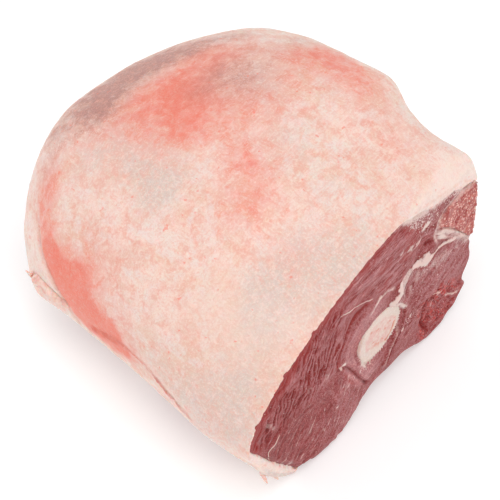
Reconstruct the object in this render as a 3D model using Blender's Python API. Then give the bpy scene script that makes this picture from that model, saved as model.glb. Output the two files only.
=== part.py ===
"""Raw half leg of lamb with the bone in, lying on its inner side with the fat cover up.

Metres, +Z up. +X comes out of the visible cut, +Y runs across the leg to its far side,
and the origin is the middle of the footprint, on the floor.
"""

import math

import bmesh
import bpy
import numpy as np

# Driving dimensions of the whole leg
LENGTH = 0.142
CUT_X = 0.0691
ROLL_RADIUS = 0.0395
ROLL_INWARD = 0.0263
ROLL_END = math.radians(70)

# Sides, crown and top along the leg, as (share of the length from the cut, metres)
NEAR_Y = ((0, -0.0768), (0.3, -0.0757), (0.6, -0.0698), (1, -0.0613))
FAR_Y = ((0, 0.0572), (0.25, 0.0634), (0.5, 0.0728), (0.75, 0.0743), (1, 0.0395))
NEAR_Z = ((0, 0.044), (0.5, 0.0496), (1, 0.0343))
FAR_Z = ((0, 0.045), (0.5, 0.0444), (1, 0.0352))
TOP_Z = ((0, 0.095), (0.25, 0.106), (0.5, 0.108), (0.75, 0.0984), (1, 0.093))
CROWN_Y = ((0, 0.0122), (0.5, 0.0138), (1, -0.0181))
FLAT_NEAR_Y = ((0, -0.0468), (1, -0.0398))
FLAT_FAR_Y = ((0, 0.0402), (1, 0.0352))

# Fullness of the section's quarters: 2 is an ellipse, more is squarer
NEAR_TOP_POWER = ((0, 1.6), (0.35, 2.07), (1, 2.07))
FAR_TOP_POWER = ((0, 4.5), (0.35, 3.02), (1, 3.02))
NEAR_LOW_POWER = 1.5
FAR_LOW_POWER = 2.6

# Swells and hollows of the surface: height, place and half width along the leg,
# and place and half width round it in degrees from the far side
SWELL_CENTRE = (0.0052, 0.045)
SWELLS = (
    (0.0034, 0.048, 0.0135, 30, 32),
    (-0.0033, 0.025, 0.0147, 37, 32),
    (0.0034, 0.117, 0.0110, 203, 12),
)

# Arch under the cut, where the meat lifts off the board
ARCH_HEIGHT = 0.009
ARCH_HALF_WIDTH = 0.020
ARCH_DEPTH = 0.042
ARCH_Y = 0.0052

# Fat cover: where it ends on the far and near sides, and its thickness
COVER_FAR_EDGE = ((0, 18), (0.35, -22), (1, -40))
COVER_NEAR_EDGE = ((0, 236), (0.5, 240), (1, 232))
FAT_AT_CUT = ((-60, 0.006), (18, 0.0075), (40, 0.009), (60, 0.0075), (76, 0.0038), (92, 0.002),
              (130, 0.0017), (160, 0.0026), (190, 0.0038), (215, 0.0045), (250, 0.004))
FAT_INSIDE = 0.0032
FAT_CHANGE_LENGTH = 0.045
FAT_EDGE = 0.0014
FAT_EDGE_WIDTH = 0.009
GAP = 0.0003
LEDGE = math.radians(2.5)

# Thigh bone, as (share of its run, centre y, centre z, mean radius)
FEMUR_RUN = ((0, -0.0025, 0.0394, 0.0122), (0.3, -0.004, 0.043, 0.0102),
             (0.65, -0.008, 0.048, 0.0098), (1, -0.0115, 0.050, 0.0112))
FEMUR_PROUD = 0.0004
TUNNEL_PAST = 0.003

# Sawn hip bone in the upper far corner of the cut: face outline (y, z) and depth
HIP_OUTLINE = ((0.0446, 0.0905), (0.0389, 0.0759), (0.0322, 0.0702), (0.0410, 0.0609),
               (0.0486, 0.0517), (0.0560, 0.0405), (0.0800, 0.0420), (0.0800, 0.0850))
HIP_DEPTH = 0.032
HIP_DEEP_SHARE = 0.55

# Low forms of the cut faces: height, y, z and the half widths of each
CUT_FORMS = (
    (0.0014, -0.0300, 0.0200, 0.0220, 0.0130),
    (0.0012, -0.0450, 0.0560, 0.0160, 0.0120),
    (-0.0016, -0.0150, 0.0440, 0.0060, 0.0140),
    (0.0016, 0.0100, 0.0400, 0.0060, 0.0170),
    (-0.0026, 0.0380, 0.0140, 0.0110, 0.0080),
    (0.0012, 0.0330, 0.0350, 0.0120, 0.0100),
    (0.0010, 0.0020, 0.0800, 0.0180, 0.0090),
    (-0.0018, 0.0240, 0.0640, 0.0050, 0.0050),
)

# Numbers of faces
BODY_ROWS = 15
ROLL_ROWS = 8
COVER_COLUMNS = 38
LOW_COLUMNS = 6
FLOOR_COLUMNS = 6
CUT_RINGS = 8
RIM_LEVELS = 4
FEMUR_SIDES = 20
FEMUR_ROWS = 7

COLORS = {
    "lean": (0.36, 0.10, 0.10),
    "fat_cover": (0.87, 0.62, 0.53),
    "femur": (0.80, 0.60, 0.55),
    "hip_bone": (0.56, 0.20, 0.18),
}


def clear_scene():
    for item in list(bpy.data.objects):
        bpy.data.objects.remove(item, do_unlink=True)


def through(knots, places):
    """Smooth curve through the knots, read at the places."""
    xs = np.array([knot[0] for knot in knots], float)
    ys = np.array([knot[1] for knot in knots], float)
    steps = np.diff(xs)
    rises = np.diff(ys) / steps
    slopes = np.concatenate([rises[:1], (rises[:-1] + rises[1:]) / 2, rises[-1:]])
    if len(xs) > 2:
        inner = (rises[:-1] * steps[1:] + rises[1:] * steps[:-1]) / (steps[1:] + steps[:-1])
        slopes[1:-1] = inner
    x = np.clip(np.asarray(places, float), xs[0], xs[-1])
    i = np.clip(np.searchsorted(xs, x) - 1, 0, len(xs) - 2)
    t = (x - xs[i]) / steps[i]
    start = (1 + 2 * t) * (1 - t) ** 2 * ys[i] + t * (1 - t) ** 2 * steps[i] * slopes[i]
    end = t * t * (3 - 2 * t) * ys[i + 1] - t * t * (1 - t) * steps[i] * slopes[i + 1]
    return start + end


def smooth(t):
    t = np.clip(t, 0, 1)
    return t * t * (3 - 2 * t)


def bell(offset, half_width):
    return np.exp(-(offset / half_width) ** 2)


def section(share, angle):
    """Outline (y, z) of the leg at a share of its length, angle 0 far, 90 crown, 270 floor."""
    cosine = np.cos(angle)
    sine = np.sin(angle)
    far = cosine >= 0
    high = sine >= 0
    top_power = np.where(far, through(FAR_TOP_POWER, share), through(NEAR_TOP_POWER, share))
    low_power = np.where(far, FAR_LOW_POWER, NEAR_LOW_POWER)
    power = np.where(high, top_power, low_power)
    across = np.abs(cosine) ** (2 / power)
    upward = np.abs(sine) ** (2 / power)
    side_y = np.where(far, through(FAR_Y, share), through(NEAR_Y, share))
    side_z = np.where(far, through(FAR_Z, share), through(NEAR_Z, share))
    flat_y = np.where(far, through(FLAT_FAR_Y, share), through(FLAT_NEAR_Y, share))
    inner_y = np.where(high, through(CROWN_Y, share), flat_y)
    end_z = np.where(high, through(TOP_Z, share), 0)
    y = inner_y + (side_y - inner_y) * across
    z = side_z + (end_z - side_z) * upward
    degrees = np.degrees(angle)
    push = 0
    for height, place, length, turn, spread in SWELLS:
        away = (degrees - turn + 180) % 360 - 180
        push = push + height * bell(share * LENGTH - place, length) * bell(away, spread)
    centre_y, centre_z = SWELL_CENTRE
    radius = np.hypot(y - centre_y, z - centre_z)
    y = y + (y - centre_y) / radius * push
    z = z + (z - centre_z) / radius * push
    return y, z


def arch(distance, y):
    """Height of the arch under the cut."""
    fade = 0.5 + 0.5 * np.cos(np.pi * np.clip(distance / ARCH_DEPTH, 0, 1))
    return ARCH_HEIGHT * fade * np.exp(-((y - ARCH_Y) / ARCH_HALF_WIDTH) ** 4)


def station(along):
    """Distance from the cut, share of the length and roll angle at a place along the skin."""
    straight = LENGTH - ROLL_RADIUS
    roll = max(0.0, (along - straight) / ROLL_RADIUS)
    distance = min(along, straight) + ROLL_RADIUS * math.sin(roll)
    return distance, distance / LENGTH, roll


def section_centre(share):
    y = (through(NEAR_Y, share) + through(FAR_Y, share)) / 2
    return float(y), float(through(TOP_Z, share)) / 2


def rolled(along, y, z):
    """Section points (y, z) moved in by the roll at the far end, with x added."""
    distance, share, roll = station(along)
    centre_y, centre_z = section_centre(share)
    radius = np.hypot(y - centre_y, z - centre_z)
    keep = 1 - ROLL_INWARD * (1 - math.cos(roll)) / radius
    y = centre_y + (y - centre_y) * keep
    z = centre_z + (z - centre_z) * keep
    z = np.maximum(z, arch(distance, y))
    return np.stack([np.full_like(y, CUT_X - distance), y, z], -1)


def tilt(along):
    """How far the skin faces back along -X and how far out of the section."""
    roll = station(along)[2]
    back = ROLL_INWARD * math.sin(roll)
    out = ROLL_RADIUS * math.cos(roll)
    size = math.hypot(back, out)
    return back / size, out / size


def normals(along, points):
    """Outward direction at the points of an open run round the leg."""
    tangent = np.gradient(points[:, 1:], axis=0)
    flat = np.stack([tangent[:, 1], -tangent[:, 0]], -1)
    flat /= np.linalg.norm(flat, axis=1, keepdims=True)
    back, out = tilt(along)
    return np.column_stack([np.full(len(flat), -back), flat * out])


def even_run(along, first, last, count):
    """Skin points, outward directions and angles, evenly spaced from angle to angle."""
    share = station(along)[1]
    angle = np.linspace(first, last, 600)
    y, z = section(share, angle)
    points = rolled(along, y, z)
    steps = np.linalg.norm(np.diff(points, axis=0), axis=1)
    length = np.concatenate([[0], np.cumsum(steps)])
    wanted = np.linspace(0, length[-1], count + 1)
    outward = normals(along, points)
    even = np.column_stack([np.interp(wanted, length, points[:, k]) for k in range(3)])
    out = np.column_stack([np.interp(wanted, length, outward[:, k]) for k in range(3)])
    out /= np.linalg.norm(out, axis=1, keepdims=True)
    return even, out, np.interp(wanted, length, angle), wanted, length[-1]


def fat_thickness(along, angle, walked, total):
    """Thickness of the fat cover, thin at its edges and thick in the upper far corner."""
    near_cut = np.exp(-(along / FAT_CHANGE_LENGTH) ** 2)
    inside = FAT_INSIDE
    thickness = through(FAT_AT_CUT, np.degrees(angle)) * near_cut + inside * (1 - near_cut)
    far_end = LENGTH - ROLL_RADIUS + ROLL_RADIUS * ROLL_END
    edge = np.minimum(np.minimum(walked, total - walked), far_end - along)
    return FAT_EDGE + (thickness - FAT_EDGE) * smooth(edge / FAT_EDGE_WIDTH)


def cover_edges(along):
    share = station(along)[1]
    first = math.radians(float(through(COVER_FAR_EDGE, share)))
    last = math.radians(float(through(COVER_NEAR_EDGE, share)))
    return first, last


def stations():
    straight = LENGTH - ROLL_RADIUS
    body = np.linspace(0, straight, BODY_ROWS + 1)
    roll = straight + ROLL_RADIUS * np.linspace(0, ROLL_END, ROLL_ROWS + 1)
    return np.concatenate([body, roll[1:]])


def cover_rows():
    """For each station the cover's outer skin, outward directions and thickness."""
    rows = []
    for along in stations():
        first, last = cover_edges(along)
        points, outward, angle, walked, total = even_run(along, first, last, COVER_COLUMNS)
        rows.append((points, outward, fat_thickness(along, angle, walked, total)))
    return rows


def cut_form(y, z):
    """Low relief of a cut face."""
    height = np.zeros_like(y)
    for top, centre_y, centre_z, wide, tall in CUT_FORMS:
        height = height + top * bell(y - centre_y, wide) * bell(z - centre_z, tall)
    return height


def link(ring_a, ring_b):
    """Quads between two closed rings of vertex numbers."""
    count = len(ring_a)
    quads = []
    for k in range(count):
        after = (k + 1) % count
        quads.append((ring_a[k], ring_a[after], ring_b[after], ring_b[k]))
    return quads


def make_object(name, vertices, faces):
    """Closed mesh object, smooth shaded, with its faces pointing out."""
    mesh = bpy.data.meshes.new(name)
    mesh.from_pydata([tuple(map(float, vertex)) for vertex in vertices], [], faces)
    work = bmesh.new()
    work.from_mesh(mesh)
    bmesh.ops.triangulate(work, faces=work.faces)
    bmesh.ops.recalc_face_normals(work, faces=work.faces)
    work.to_mesh(mesh)
    work.free()
    mesh.shade_smooth()
    mesh.set_sharp_from_angle(angle=math.radians(50))
    item = bpy.data.objects.new(name, mesh)
    bpy.context.scene.collection.objects.link(item)
    return item


def paint(item, roughness):
    material = bpy.data.materials.new(item.name)
    material.use_nodes = True
    shader = material.node_tree.nodes["Principled BSDF"]
    color = COLORS[item.name]
    shader.inputs["Base Color"].default_value = (*color, 1)
    shader.inputs["Roughness"].default_value = roughness
    shader.inputs["Metallic"].default_value = 0
    material.diffuse_color = (*color, 1)
    item.data.materials.clear()
    item.data.materials.append(material)


def hide(item):
    item.hide_render = True
    item.display_type = "WIRE"


def cut_by(item, cutter, operation):
    modifier = item.modifiers.new(f"{operation.title()} {cutter.name}", "BOOLEAN")
    modifier.operation = operation
    modifier.solver = "EXACT"
    modifier.object = cutter
    hide(cutter)


def make_fat_cover(rows):
    """Thick sheet over the top, the sides and the rolled end."""
    vertices = []
    for points, outward, thickness in rows:
        vertices.extend(points)
        vertices.extend(points - outward * thickness[:, None])
    wide = COVER_COLUMNS + 1
    rings = []
    for k in range(len(rows)):
        start = k * 2 * wide
        outer = list(range(start, start + wide))
        inner = list(range(start + wide, start + 2 * wide))
        rings.append(outer + inner[::-1])
    faces = []
    for k in range(len(rings) - 1):
        faces.extend(link(rings[k], rings[k + 1]))
    for ring in (rings[0], rings[-1]):
        for k in range(COVER_COLUMNS):
            other = 2 * wide - 1 - k
            faces.append((ring[k], ring[k + 1], ring[other - 1], ring[other]))
    return make_object("fat_cover", vertices, faces)


def lean_ring(along, row):
    """Closed outline of the meat: under the fat where there is fat, else the skin itself."""
    points, outward, thickness = row
    first, last = cover_edges(along)
    under = points - outward * (thickness + GAP)[:, None]
    near = even_run(along, last + LEDGE, math.radians(270) - 1e-6, LOW_COLUMNS)[0]
    far = even_run(along, math.radians(-90) + 1e-6, first - LEDGE, LOW_COLUMNS)[0]
    share = np.linspace(0, 1, FLOOR_COLUMNS + 1)[1:-1, None]
    floor = near[-1] * (1 - share) + far[0] * share
    floor[:, 2] = np.maximum(floor[:, 2], arch(station(along)[0], floor[:, 1]))
    bare = np.concatenate([near, floor, far])
    bare[:, 0] += (FAT_EDGE + GAP) * tilt(along)[0]
    return np.concatenate([under, bare])


def bone_place(share):
    """Centre (y, z) and mean radius of the thigh bone at a share of its run."""
    values = []
    for k in (1, 2, 3):
        values.append(through([(knot[0], knot[k]) for knot in FEMUR_RUN], share))
    return values


def close_cut(vertices, faces, ring, centre, side):
    """Rings from a rim to its centre, with the low relief of a cut face."""
    rim = np.array([vertices[k] for k in ring])
    before = ring
    for step in range(1, CUT_RINGS):
        share = step / CUT_RINGS
        points = rim + (centre - rim) * share
        level = smooth(share * RIM_LEVELS)
        points[:, 0] = rim[:, 0] + (centre[0] - rim[:, 0]) * level
        points[:, 0] += side * cut_form(points[:, 1], points[:, 2]) * level
        start = len(vertices)
        vertices.extend(points)
        after = list(range(start, start + len(ring)))
        faces.extend(link(before, after))
        before = after
    vertices.append(centre)
    middle = len(vertices) - 1
    for k in range(len(before)):
        faces.append((before[k], before[(k + 1) % len(before)], middle))


def make_lean(rows, name):
    """Meat of the leg, from the visible cut to the far cut, before the bones are let in."""
    vertices = []
    faces = []
    rings = []
    for along, row in zip(stations(), rows):
        outline = lean_ring(along, row)
        start = len(vertices)
        vertices.extend(outline)
        rings.append(list(range(start, start + len(outline))))
    for k in range(len(rings) - 1):
        faces.extend(link(rings[k], rings[k + 1]))
    for ring, share, side in ((rings[0], 0, 1), (rings[-1], 1, -1)):
        y, z, _ = bone_place(share)
        x = np.mean([vertices[k][0] for k in ring])
        close_cut(vertices, faces, ring, np.array([x, float(y), float(z)]), side)
    return make_object(name, vertices, faces)


def bone_outline(radius):
    """Slightly uneven round of the thigh bone."""
    turn = np.linspace(0, 2 * math.pi, FEMUR_SIDES, endpoint=False)
    reach = radius * (1 + 0.06 * np.cos(turn + 0.2) + 0.025 * np.cos(3 * turn))
    return reach * np.cos(turn), reach * np.sin(turn)


def make_femur(name, back_x, past, grow):
    """Thigh bone shaft from cut to cut and past both, its skin moved out by grow."""
    vertices = []
    faces = []
    rings = []
    run = np.linspace(0, 1, FEMUR_ROWS + 1)
    shares = np.concatenate([[0], run, [1]])
    places = CUT_X + (back_x - CUT_X) * shares
    places[0] += past
    places[-1] -= past
    for share, x in zip(shares, places):
        y, z, radius = bone_place(share)
        across, upward = bone_outline(radius + grow)
        start = len(vertices)
        vertices.extend(zip(np.full_like(across, x), y + across, z + upward))
        rings.append(list(range(start, start + FEMUR_SIDES)))
    for before, after in zip(rings, rings[1:]):
        faces.extend(link(before, after))
    faces.append(tuple(rings[0]))
    faces.append(tuple(rings[-1]))
    return make_object(name, vertices, faces)


def make_hip_wedge(name, grow):
    """Wedge of hip bone, deepest at the far side, its faces moved out by grow."""
    outline = np.array(HIP_OUTLINE)
    centre = outline.mean(axis=0)
    arms = outline - centre
    outline = centre + arms * (1 + grow / np.linalg.norm(arms, axis=1, keepdims=True))
    front = CUT_X + HIP_DEPTH
    vertices = [(front, y, z) for y, z in outline]
    spread = np.ptp(outline[:, 0])
    for y, z in outline:
        deep = HIP_DEEP_SHARE + (1 - HIP_DEEP_SHARE) * (y - outline[:, 0].min()) / spread
        vertices.append((CUT_X - HIP_DEPTH * deep - grow, y, z))
    count = len(outline)
    near = list(range(count))
    deep_ring = list(range(count, 2 * count))
    faces = link(near, deep_ring)
    faces.append(tuple(near))
    faces.append(tuple(deep_ring))
    return make_object(name, vertices, faces)


def build():
    clear_scene()
    rows = cover_rows()
    fat_cover = make_fat_cover(rows)
    lean = make_lean(rows, "lean")
    blank = make_lean(rows, "lean_blank")
    back_x = float(lean_ring(stations()[-1], rows[-1])[:, 0].mean())
    femur = make_femur("femur", back_x, FEMUR_PROUD, 0)
    tunnel = make_femur("femur_tunnel", back_x, TUNNEL_PAST, GAP)
    hip_bone = make_hip_wedge("hip_bone", 0)
    pocket = make_hip_wedge("hip_pocket", GAP * 1.5)
    cut_by(hip_bone, blank, "INTERSECT")
    cut_by(lean, tunnel, "DIFFERENCE")
    cut_by(lean, pocket, "DIFFERENCE")
    paint(fat_cover, 0.5)
    paint(lean, 0.4)
    paint(femur, 0.55)
    paint(hip_bone, 0.5)


build()
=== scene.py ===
import math

import bpy
import numpy as np
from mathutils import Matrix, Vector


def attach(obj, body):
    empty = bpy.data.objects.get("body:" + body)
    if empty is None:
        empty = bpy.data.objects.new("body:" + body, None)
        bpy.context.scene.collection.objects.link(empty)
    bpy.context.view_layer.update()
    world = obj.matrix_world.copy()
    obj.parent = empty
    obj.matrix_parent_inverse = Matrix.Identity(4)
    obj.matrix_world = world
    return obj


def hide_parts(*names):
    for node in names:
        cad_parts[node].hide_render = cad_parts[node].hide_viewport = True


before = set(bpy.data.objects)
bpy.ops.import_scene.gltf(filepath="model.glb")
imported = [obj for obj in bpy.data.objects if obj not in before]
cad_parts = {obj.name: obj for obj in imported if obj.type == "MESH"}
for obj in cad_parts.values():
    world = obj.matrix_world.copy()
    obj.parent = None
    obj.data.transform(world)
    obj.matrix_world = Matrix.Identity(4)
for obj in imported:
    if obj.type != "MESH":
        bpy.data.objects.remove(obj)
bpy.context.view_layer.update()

MM = 0.001
DETAIL = 1.0
# How far the sawn meat and the sawn fat stand behind the solids' cut, and lowest height
MEAT_BACK = 0.0004
FAT_BACK = 0.0002
FLOOR_GAP = 0.0003

# Sizes of the leg, as in its solids: see the section that follows
CUT_X = 0.0691
LENGTH = 0.142
ROLL_RADIUS = 0.0395
ROLL_INWARD = 0.0263
ROLL_END = math.radians(70)
NEAR_Y = ((0, -0.0768), (0.3, -0.0757), (0.6, -0.0698), (1, -0.0613))
FAR_Y = ((0, 0.0572), (0.25, 0.0634), (0.5, 0.0728), (0.75, 0.0743), (1, 0.0395))
NEAR_Z = ((0, 0.044), (0.5, 0.0496), (1, 0.0343))
FAR_Z = ((0, 0.045), (0.5, 0.0444), (1, 0.0352))
TOP_Z = ((0, 0.095), (0.25, 0.106), (0.5, 0.108), (0.75, 0.0984), (1, 0.093))
CROWN_Y = ((0, 0.0122), (0.5, 0.0138), (1, -0.0181))
FLAT_NEAR_Y = ((0, -0.0468), (1, -0.0398))
FLAT_FAR_Y = ((0, 0.0402), (1, 0.0352))
NEAR_TOP_POWER = ((0, 1.6), (0.35, 2.07), (1, 2.07))
FAR_TOP_POWER = ((0, 4.5), (0.35, 3.02), (1, 3.02))
NEAR_LOW_POWER = 1.5
FAR_LOW_POWER = 2.6
SWELL_CENTRE = (0.0052, 0.045)
SWELLS = (
    (0.0034, 0.048, 0.0135, 30, 32),
    (-0.0033, 0.025, 0.0147, 37, 32),
    (0.0034, 0.117, 0.0110, 203, 12),
    (0.0013, -0.002, 0.0150, 156, 22),
)
ARCH_HEIGHT = 0.009
ARCH_HALF_WIDTH = 0.020
ARCH_DEPTH = 0.042
ARCH_Y = 0.0052
COVER_FAR_EDGE = ((0, 18), (0.35, -22), (1, -40))
COVER_NEAR_EDGE = ((0, 267), (0.05, 258), (0.2, 241), (0.5, 240), (1, 232))
FAT_AT_CUT = ((-60, 0.006), (5, 0.0070), (18, 0.0085), (30, 0.0100), (62, 0.0105), (80, 0.0100),
              (87.5, 0.0082), (90, 0.0045), (94, 0.0018), (102, 0.0008), (130, 0.0006),
              (170, 0.0006), (184, 0.0016), (198, 0.0042), (215, 0.0056), (262, 0.0052))
# How far the skin rounds down at the cut before the sawn fat starts
LIP_AT_CUT = ((-60, 0.0010), (15, 0.0012), (32, 0.0050), (60, 0.0066), (80, 0.0056),
              (87.5, 0.0034), (91, 0.0012), (100, 0.0004), (170, 0.0003), (190, 0.0008),
              (215, 0.0022), (262, 0.0012))
END_CORNER = 0.020
END_CORNER_TURN = 20
FAT_INSIDE = 0.0032
FAT_CHANGE_LENGTH = 0.045
FAT_EDGE = 0.0014
FAT_EDGE_WIDTH = 0.009
END_ALONG = LENGTH - ROLL_RADIUS + ROLL_RADIUS * ROLL_END

# Thigh bone: (share of its run, centre y, centre z, mean radius)
FEMUR_RUN = ((0, -0.0025, 0.0394, 0.0122), (0.3, -0.004, 0.043, 0.0102),
             (0.65, -0.008, 0.048, 0.0098), (1, -0.0115, 0.050, 0.0112))

# Camera fitted to the photo's outline, in metres and degrees
CAMERA_TURN = math.radians(40)
CAMERA_HEIGHT = math.radians(50)
CAMERA_DISTANCE = 0.760
CAMERA_TARGET = (-0.0059, 0.0132, 0.016)
CAMERA_LENS = 136.8


# Shape of the leg

def through(knots, places):
    """Smooth curve through the knots, read at the places."""
    xs = np.array([knot[0] for knot in knots], float)
    ys = np.array([knot[1] for knot in knots], float)
    steps = np.diff(xs)
    rises = np.diff(ys) / steps
    slopes = np.concatenate([rises[:1], (rises[:-1] + rises[1:]) / 2, rises[-1:]])
    if len(xs) > 2:
        inner = (rises[:-1] * steps[1:] + rises[1:] * steps[:-1]) / (steps[1:] + steps[:-1])
        slopes[1:-1] = inner
    x = np.clip(np.asarray(places, float), xs[0], xs[-1])
    i = np.clip(np.searchsorted(xs, x) - 1, 0, len(xs) - 2)
    t = (x - xs[i]) / steps[i]
    start = (1 + 2 * t) * (1 - t) ** 2 * ys[i] + t * (1 - t) ** 2 * steps[i] * slopes[i]
    end = t * t * (3 - 2 * t) * ys[i + 1] - t * t * (1 - t) * steps[i] * slopes[i + 1]
    return start + end


def smooth(t):
    t = np.clip(t, 0, 1)
    return t * t * (3 - 2 * t)


def bell(offset, half_width):
    return np.exp(-(offset / half_width) ** 2)


def unit(rows):
    """Rows scaled to a length of one."""
    return rows / np.linalg.norm(rows, axis=1, keepdims=True)


def walk_along(points):
    """Walked length at each point of a line."""
    steps = np.linalg.norm(np.diff(points, axis=0), axis=1)
    return np.concatenate([[0], np.cumsum(steps)])


def read_at(wanted, length, points):
    """Points of a line at the wanted lengths."""
    return np.column_stack([np.interp(wanted, length, column) for column in points.T])


def section(share, angle):
    """Outline (y, z) of the leg at a share of its length, angle 0 far, 90 crown, 270 floor."""
    cosine = np.cos(angle)
    sine = np.sin(angle)
    far = cosine >= 0
    high = sine >= 0
    top_power = np.where(far, through(FAR_TOP_POWER, share), through(NEAR_TOP_POWER, share))
    low_power = np.where(far, FAR_LOW_POWER, NEAR_LOW_POWER)
    power = np.where(high, top_power, low_power)
    across = np.abs(cosine) ** (2 / power)
    upward = np.abs(sine) ** (2 / power)
    side_y = np.where(far, through(FAR_Y, share), through(NEAR_Y, share))
    side_z = np.where(far, through(FAR_Z, share), through(NEAR_Z, share))
    flat_y = np.where(far, through(FLAT_FAR_Y, share), through(FLAT_NEAR_Y, share))
    inner_y = np.where(high, through(CROWN_Y, share), flat_y)
    end_z = np.where(high, through(TOP_Z, share), 0)
    y = inner_y + (side_y - inner_y) * across
    z = side_z + (end_z - side_z) * upward
    degrees = np.degrees(angle)
    push = 0
    for height, place, length, turn, spread in SWELLS:
        away = (degrees - turn + 180) % 360 - 180
        push = push + height * bell(share * LENGTH - place, length) * bell(away, spread)
    centre_y, centre_z = SWELL_CENTRE
    radius = np.hypot(y - centre_y, z - centre_z)
    y = y + (y - centre_y) / radius * push
    z = z + (z - centre_z) / radius * push
    return y, z


def arch(distance, y):
    """Height of the arch under the cut."""
    fade = 0.5 + 0.5 * np.cos(np.pi * np.clip(distance / ARCH_DEPTH, 0, 1))
    return ARCH_HEIGHT * fade * np.exp(-((y - ARCH_Y) / ARCH_HALF_WIDTH) ** 4)


def station(along):
    """Distance from the cut, share of the length and roll angle at a place along the skin."""
    straight = LENGTH - ROLL_RADIUS
    roll = max(0.0, (along - straight) / ROLL_RADIUS)
    distance = min(along, straight) + ROLL_RADIUS * math.sin(roll)
    return distance, distance / LENGTH, roll


def section_centre(share):
    y = (through(NEAR_Y, share) + through(FAR_Y, share)) / 2
    return float(y), float(through(TOP_Z, share)) / 2


def rolled(along, y, z):
    """Section points (y, z) moved in by the roll at the far end, with x added."""
    distance, share, roll = station(along)
    centre_y, centre_z = section_centre(share)
    radius = np.hypot(y - centre_y, z - centre_z)
    keep = 1 - ROLL_INWARD * (1 - math.cos(roll)) / radius
    y = centre_y + (y - centre_y) * keep
    z = centre_z + (z - centre_z) * keep
    z = np.maximum(z, arch(distance, y))
    return np.stack([np.full_like(y, CUT_X - distance), y, z], -1)


def tilt(along):
    """How far the skin faces back along -X and how far out of the section."""
    roll = station(along)[2]
    back = ROLL_INWARD * math.sin(roll)
    out = ROLL_RADIUS * math.cos(roll)
    size = math.hypot(back, out)
    return back / size, out / size


def even_run(along, first, last, count):
    """Skin points, outward directions, angles and walked length, evenly spaced."""
    share = station(along)[1]
    angle = np.linspace(first, last, 1200)
    points = rolled(along, *section(share, angle))
    length = walk_along(points)
    tangent = np.gradient(points[:, 1:], axis=0)
    flat = np.stack([tangent[:, 1], -tangent[:, 0]], -1)
    flat /= np.maximum(np.linalg.norm(flat, axis=1, keepdims=True), 1e-9)
    back, out = tilt(along)
    outward = np.column_stack([np.full(len(flat), -back), flat * out])
    wanted = np.linspace(0, length[-1], count + 1)
    normal = unit(read_at(wanted, length, outward))
    return read_at(wanted, length, points), normal, np.interp(wanted, length, angle), wanted


def fat_thickness(along, angle, walked):
    """Thickness of the fat cover, thin at its edges and thick in the upper far corner."""
    near_cut = np.exp(-(along / FAT_CHANGE_LENGTH) ** 2)
    thickness = through(FAT_AT_CUT, np.degrees(angle)) * near_cut
    thickness = thickness + FAT_INSIDE * (1 - near_cut)
    edge = np.minimum(np.minimum(walked, walked[-1] - walked), END_ALONG - along)
    return FAT_EDGE + (thickness - FAT_EDGE) * smooth(edge / FAT_EDGE_WIDTH)


def cover_edges(along):
    """First and last angle of the cover, drawn in round its corners at the far end."""
    share = station(along)[1]
    near_end = max(0.0, 1 - (END_ALONG - along) / END_CORNER)
    corner = END_CORNER_TURN * (1 - math.sqrt(max(0.0, 1 - near_end ** 2)))
    first = math.radians(float(through(COVER_FAR_EDGE, share)) + corner)
    last = math.radians(float(through(COVER_NEAR_EDGE, share)) - corner)
    return first, last


# Noise and drawing aids

def hashed(cells, seed):
    """Repeatable value from 0 to 1 for whole-number cells."""
    mixed = cells[..., 0] * 73856093 ^ cells[..., 1] * 19349663 ^ cells[..., 2] * 83492791
    mixed = (mixed ^ (seed * 2654435761)) & 0xFFFFFFFF
    mixed = ((mixed ^ (mixed >> 13)) * 1274126177) & 0xFFFFFFFF
    mixed = ((mixed ^ (mixed >> 15)) * 2246822519) & 0xFFFFFFFF
    return ((mixed ^ (mixed >> 16)) & 0xFFFFFF) / 0xFFFFFF


def noise(points, size, seed):
    """Smooth random value from 0 to 1, with features of about the size."""
    place = points / size
    cell = np.floor(place).astype(np.int64)
    part = smooth(place - cell)
    total = np.zeros(len(points))
    for corner in range(8):
        step = np.array([corner & 1, (corner >> 1) & 1, corner >> 2])
        weight = np.prod(np.where(step, part, 1 - part), axis=1)
        total += weight * hashed(cell + step, seed)
    return total


def clouds(points, size, seed, octaves=3):
    """Sum of noises, each half as large as the last, from 0 to 1."""
    total = np.zeros(len(points))
    reach = 0
    for octave in range(octaves):
        share = 0.5 ** octave
        total += share * noise(points, size * share, seed + 17 * octave)
        reach += share
    return total / reach


def flat_points(y, z):
    return np.column_stack([np.zeros_like(y), y, z])


def mm(points):
    return np.array(points, float) * MM


def bend(points, count=40):
    """Smooth line through a few points."""
    knots = np.array(points, float)
    walk = walk_along(knots)
    wanted = np.linspace(0, walk[-1], count)
    return np.column_stack([through(list(zip(walk, column)), wanted) for column in knots.T])


def distance_to(places, line):
    """Distance of each place to a line, and how far along it as a share."""
    best = np.full(len(places), 1e9)
    share = np.zeros(len(places))
    count = len(line) - 1
    for k in range(count):
        start = line[k]
        run = line[k + 1] - start
        t = np.clip((places - start) @ run / max(run @ run, 1e-12), 0, 1)
        gap = np.linalg.norm(places - start - t[:, None] * run, axis=1)
        closer = gap < best
        best = np.where(closer, gap, best)
        share = np.where(closer, (k + t) / count, share)
    return best, share


def inside(places, outline):
    """Which places lie inside a closed outline."""
    result = np.zeros(len(places), bool)
    for start, end in zip(outline, np.roll(outline, -1, axis=0)):
        crosses = (start[1] > places[:, 1]) != (end[1] > places[:, 1])
        rise = end[1] - start[1]
        rise = rise if abs(rise) > 1e-12 else 1e-12
        meet = start[0] + (places[:, 1] - start[1]) * (end[0] - start[0]) / rise
        result ^= crosses & (places[:, 0] < meet)
    return result


def soft_inside(places, outline, edge):
    """Like inside, with a soft edge of the width given."""
    closed = np.vstack([outline, outline[:1]])
    away = distance_to(places, closed)[0] * np.where(inside(places, outline), 1, -1)
    return smooth(away / edge + 0.5)


# Mesh aids

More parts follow.
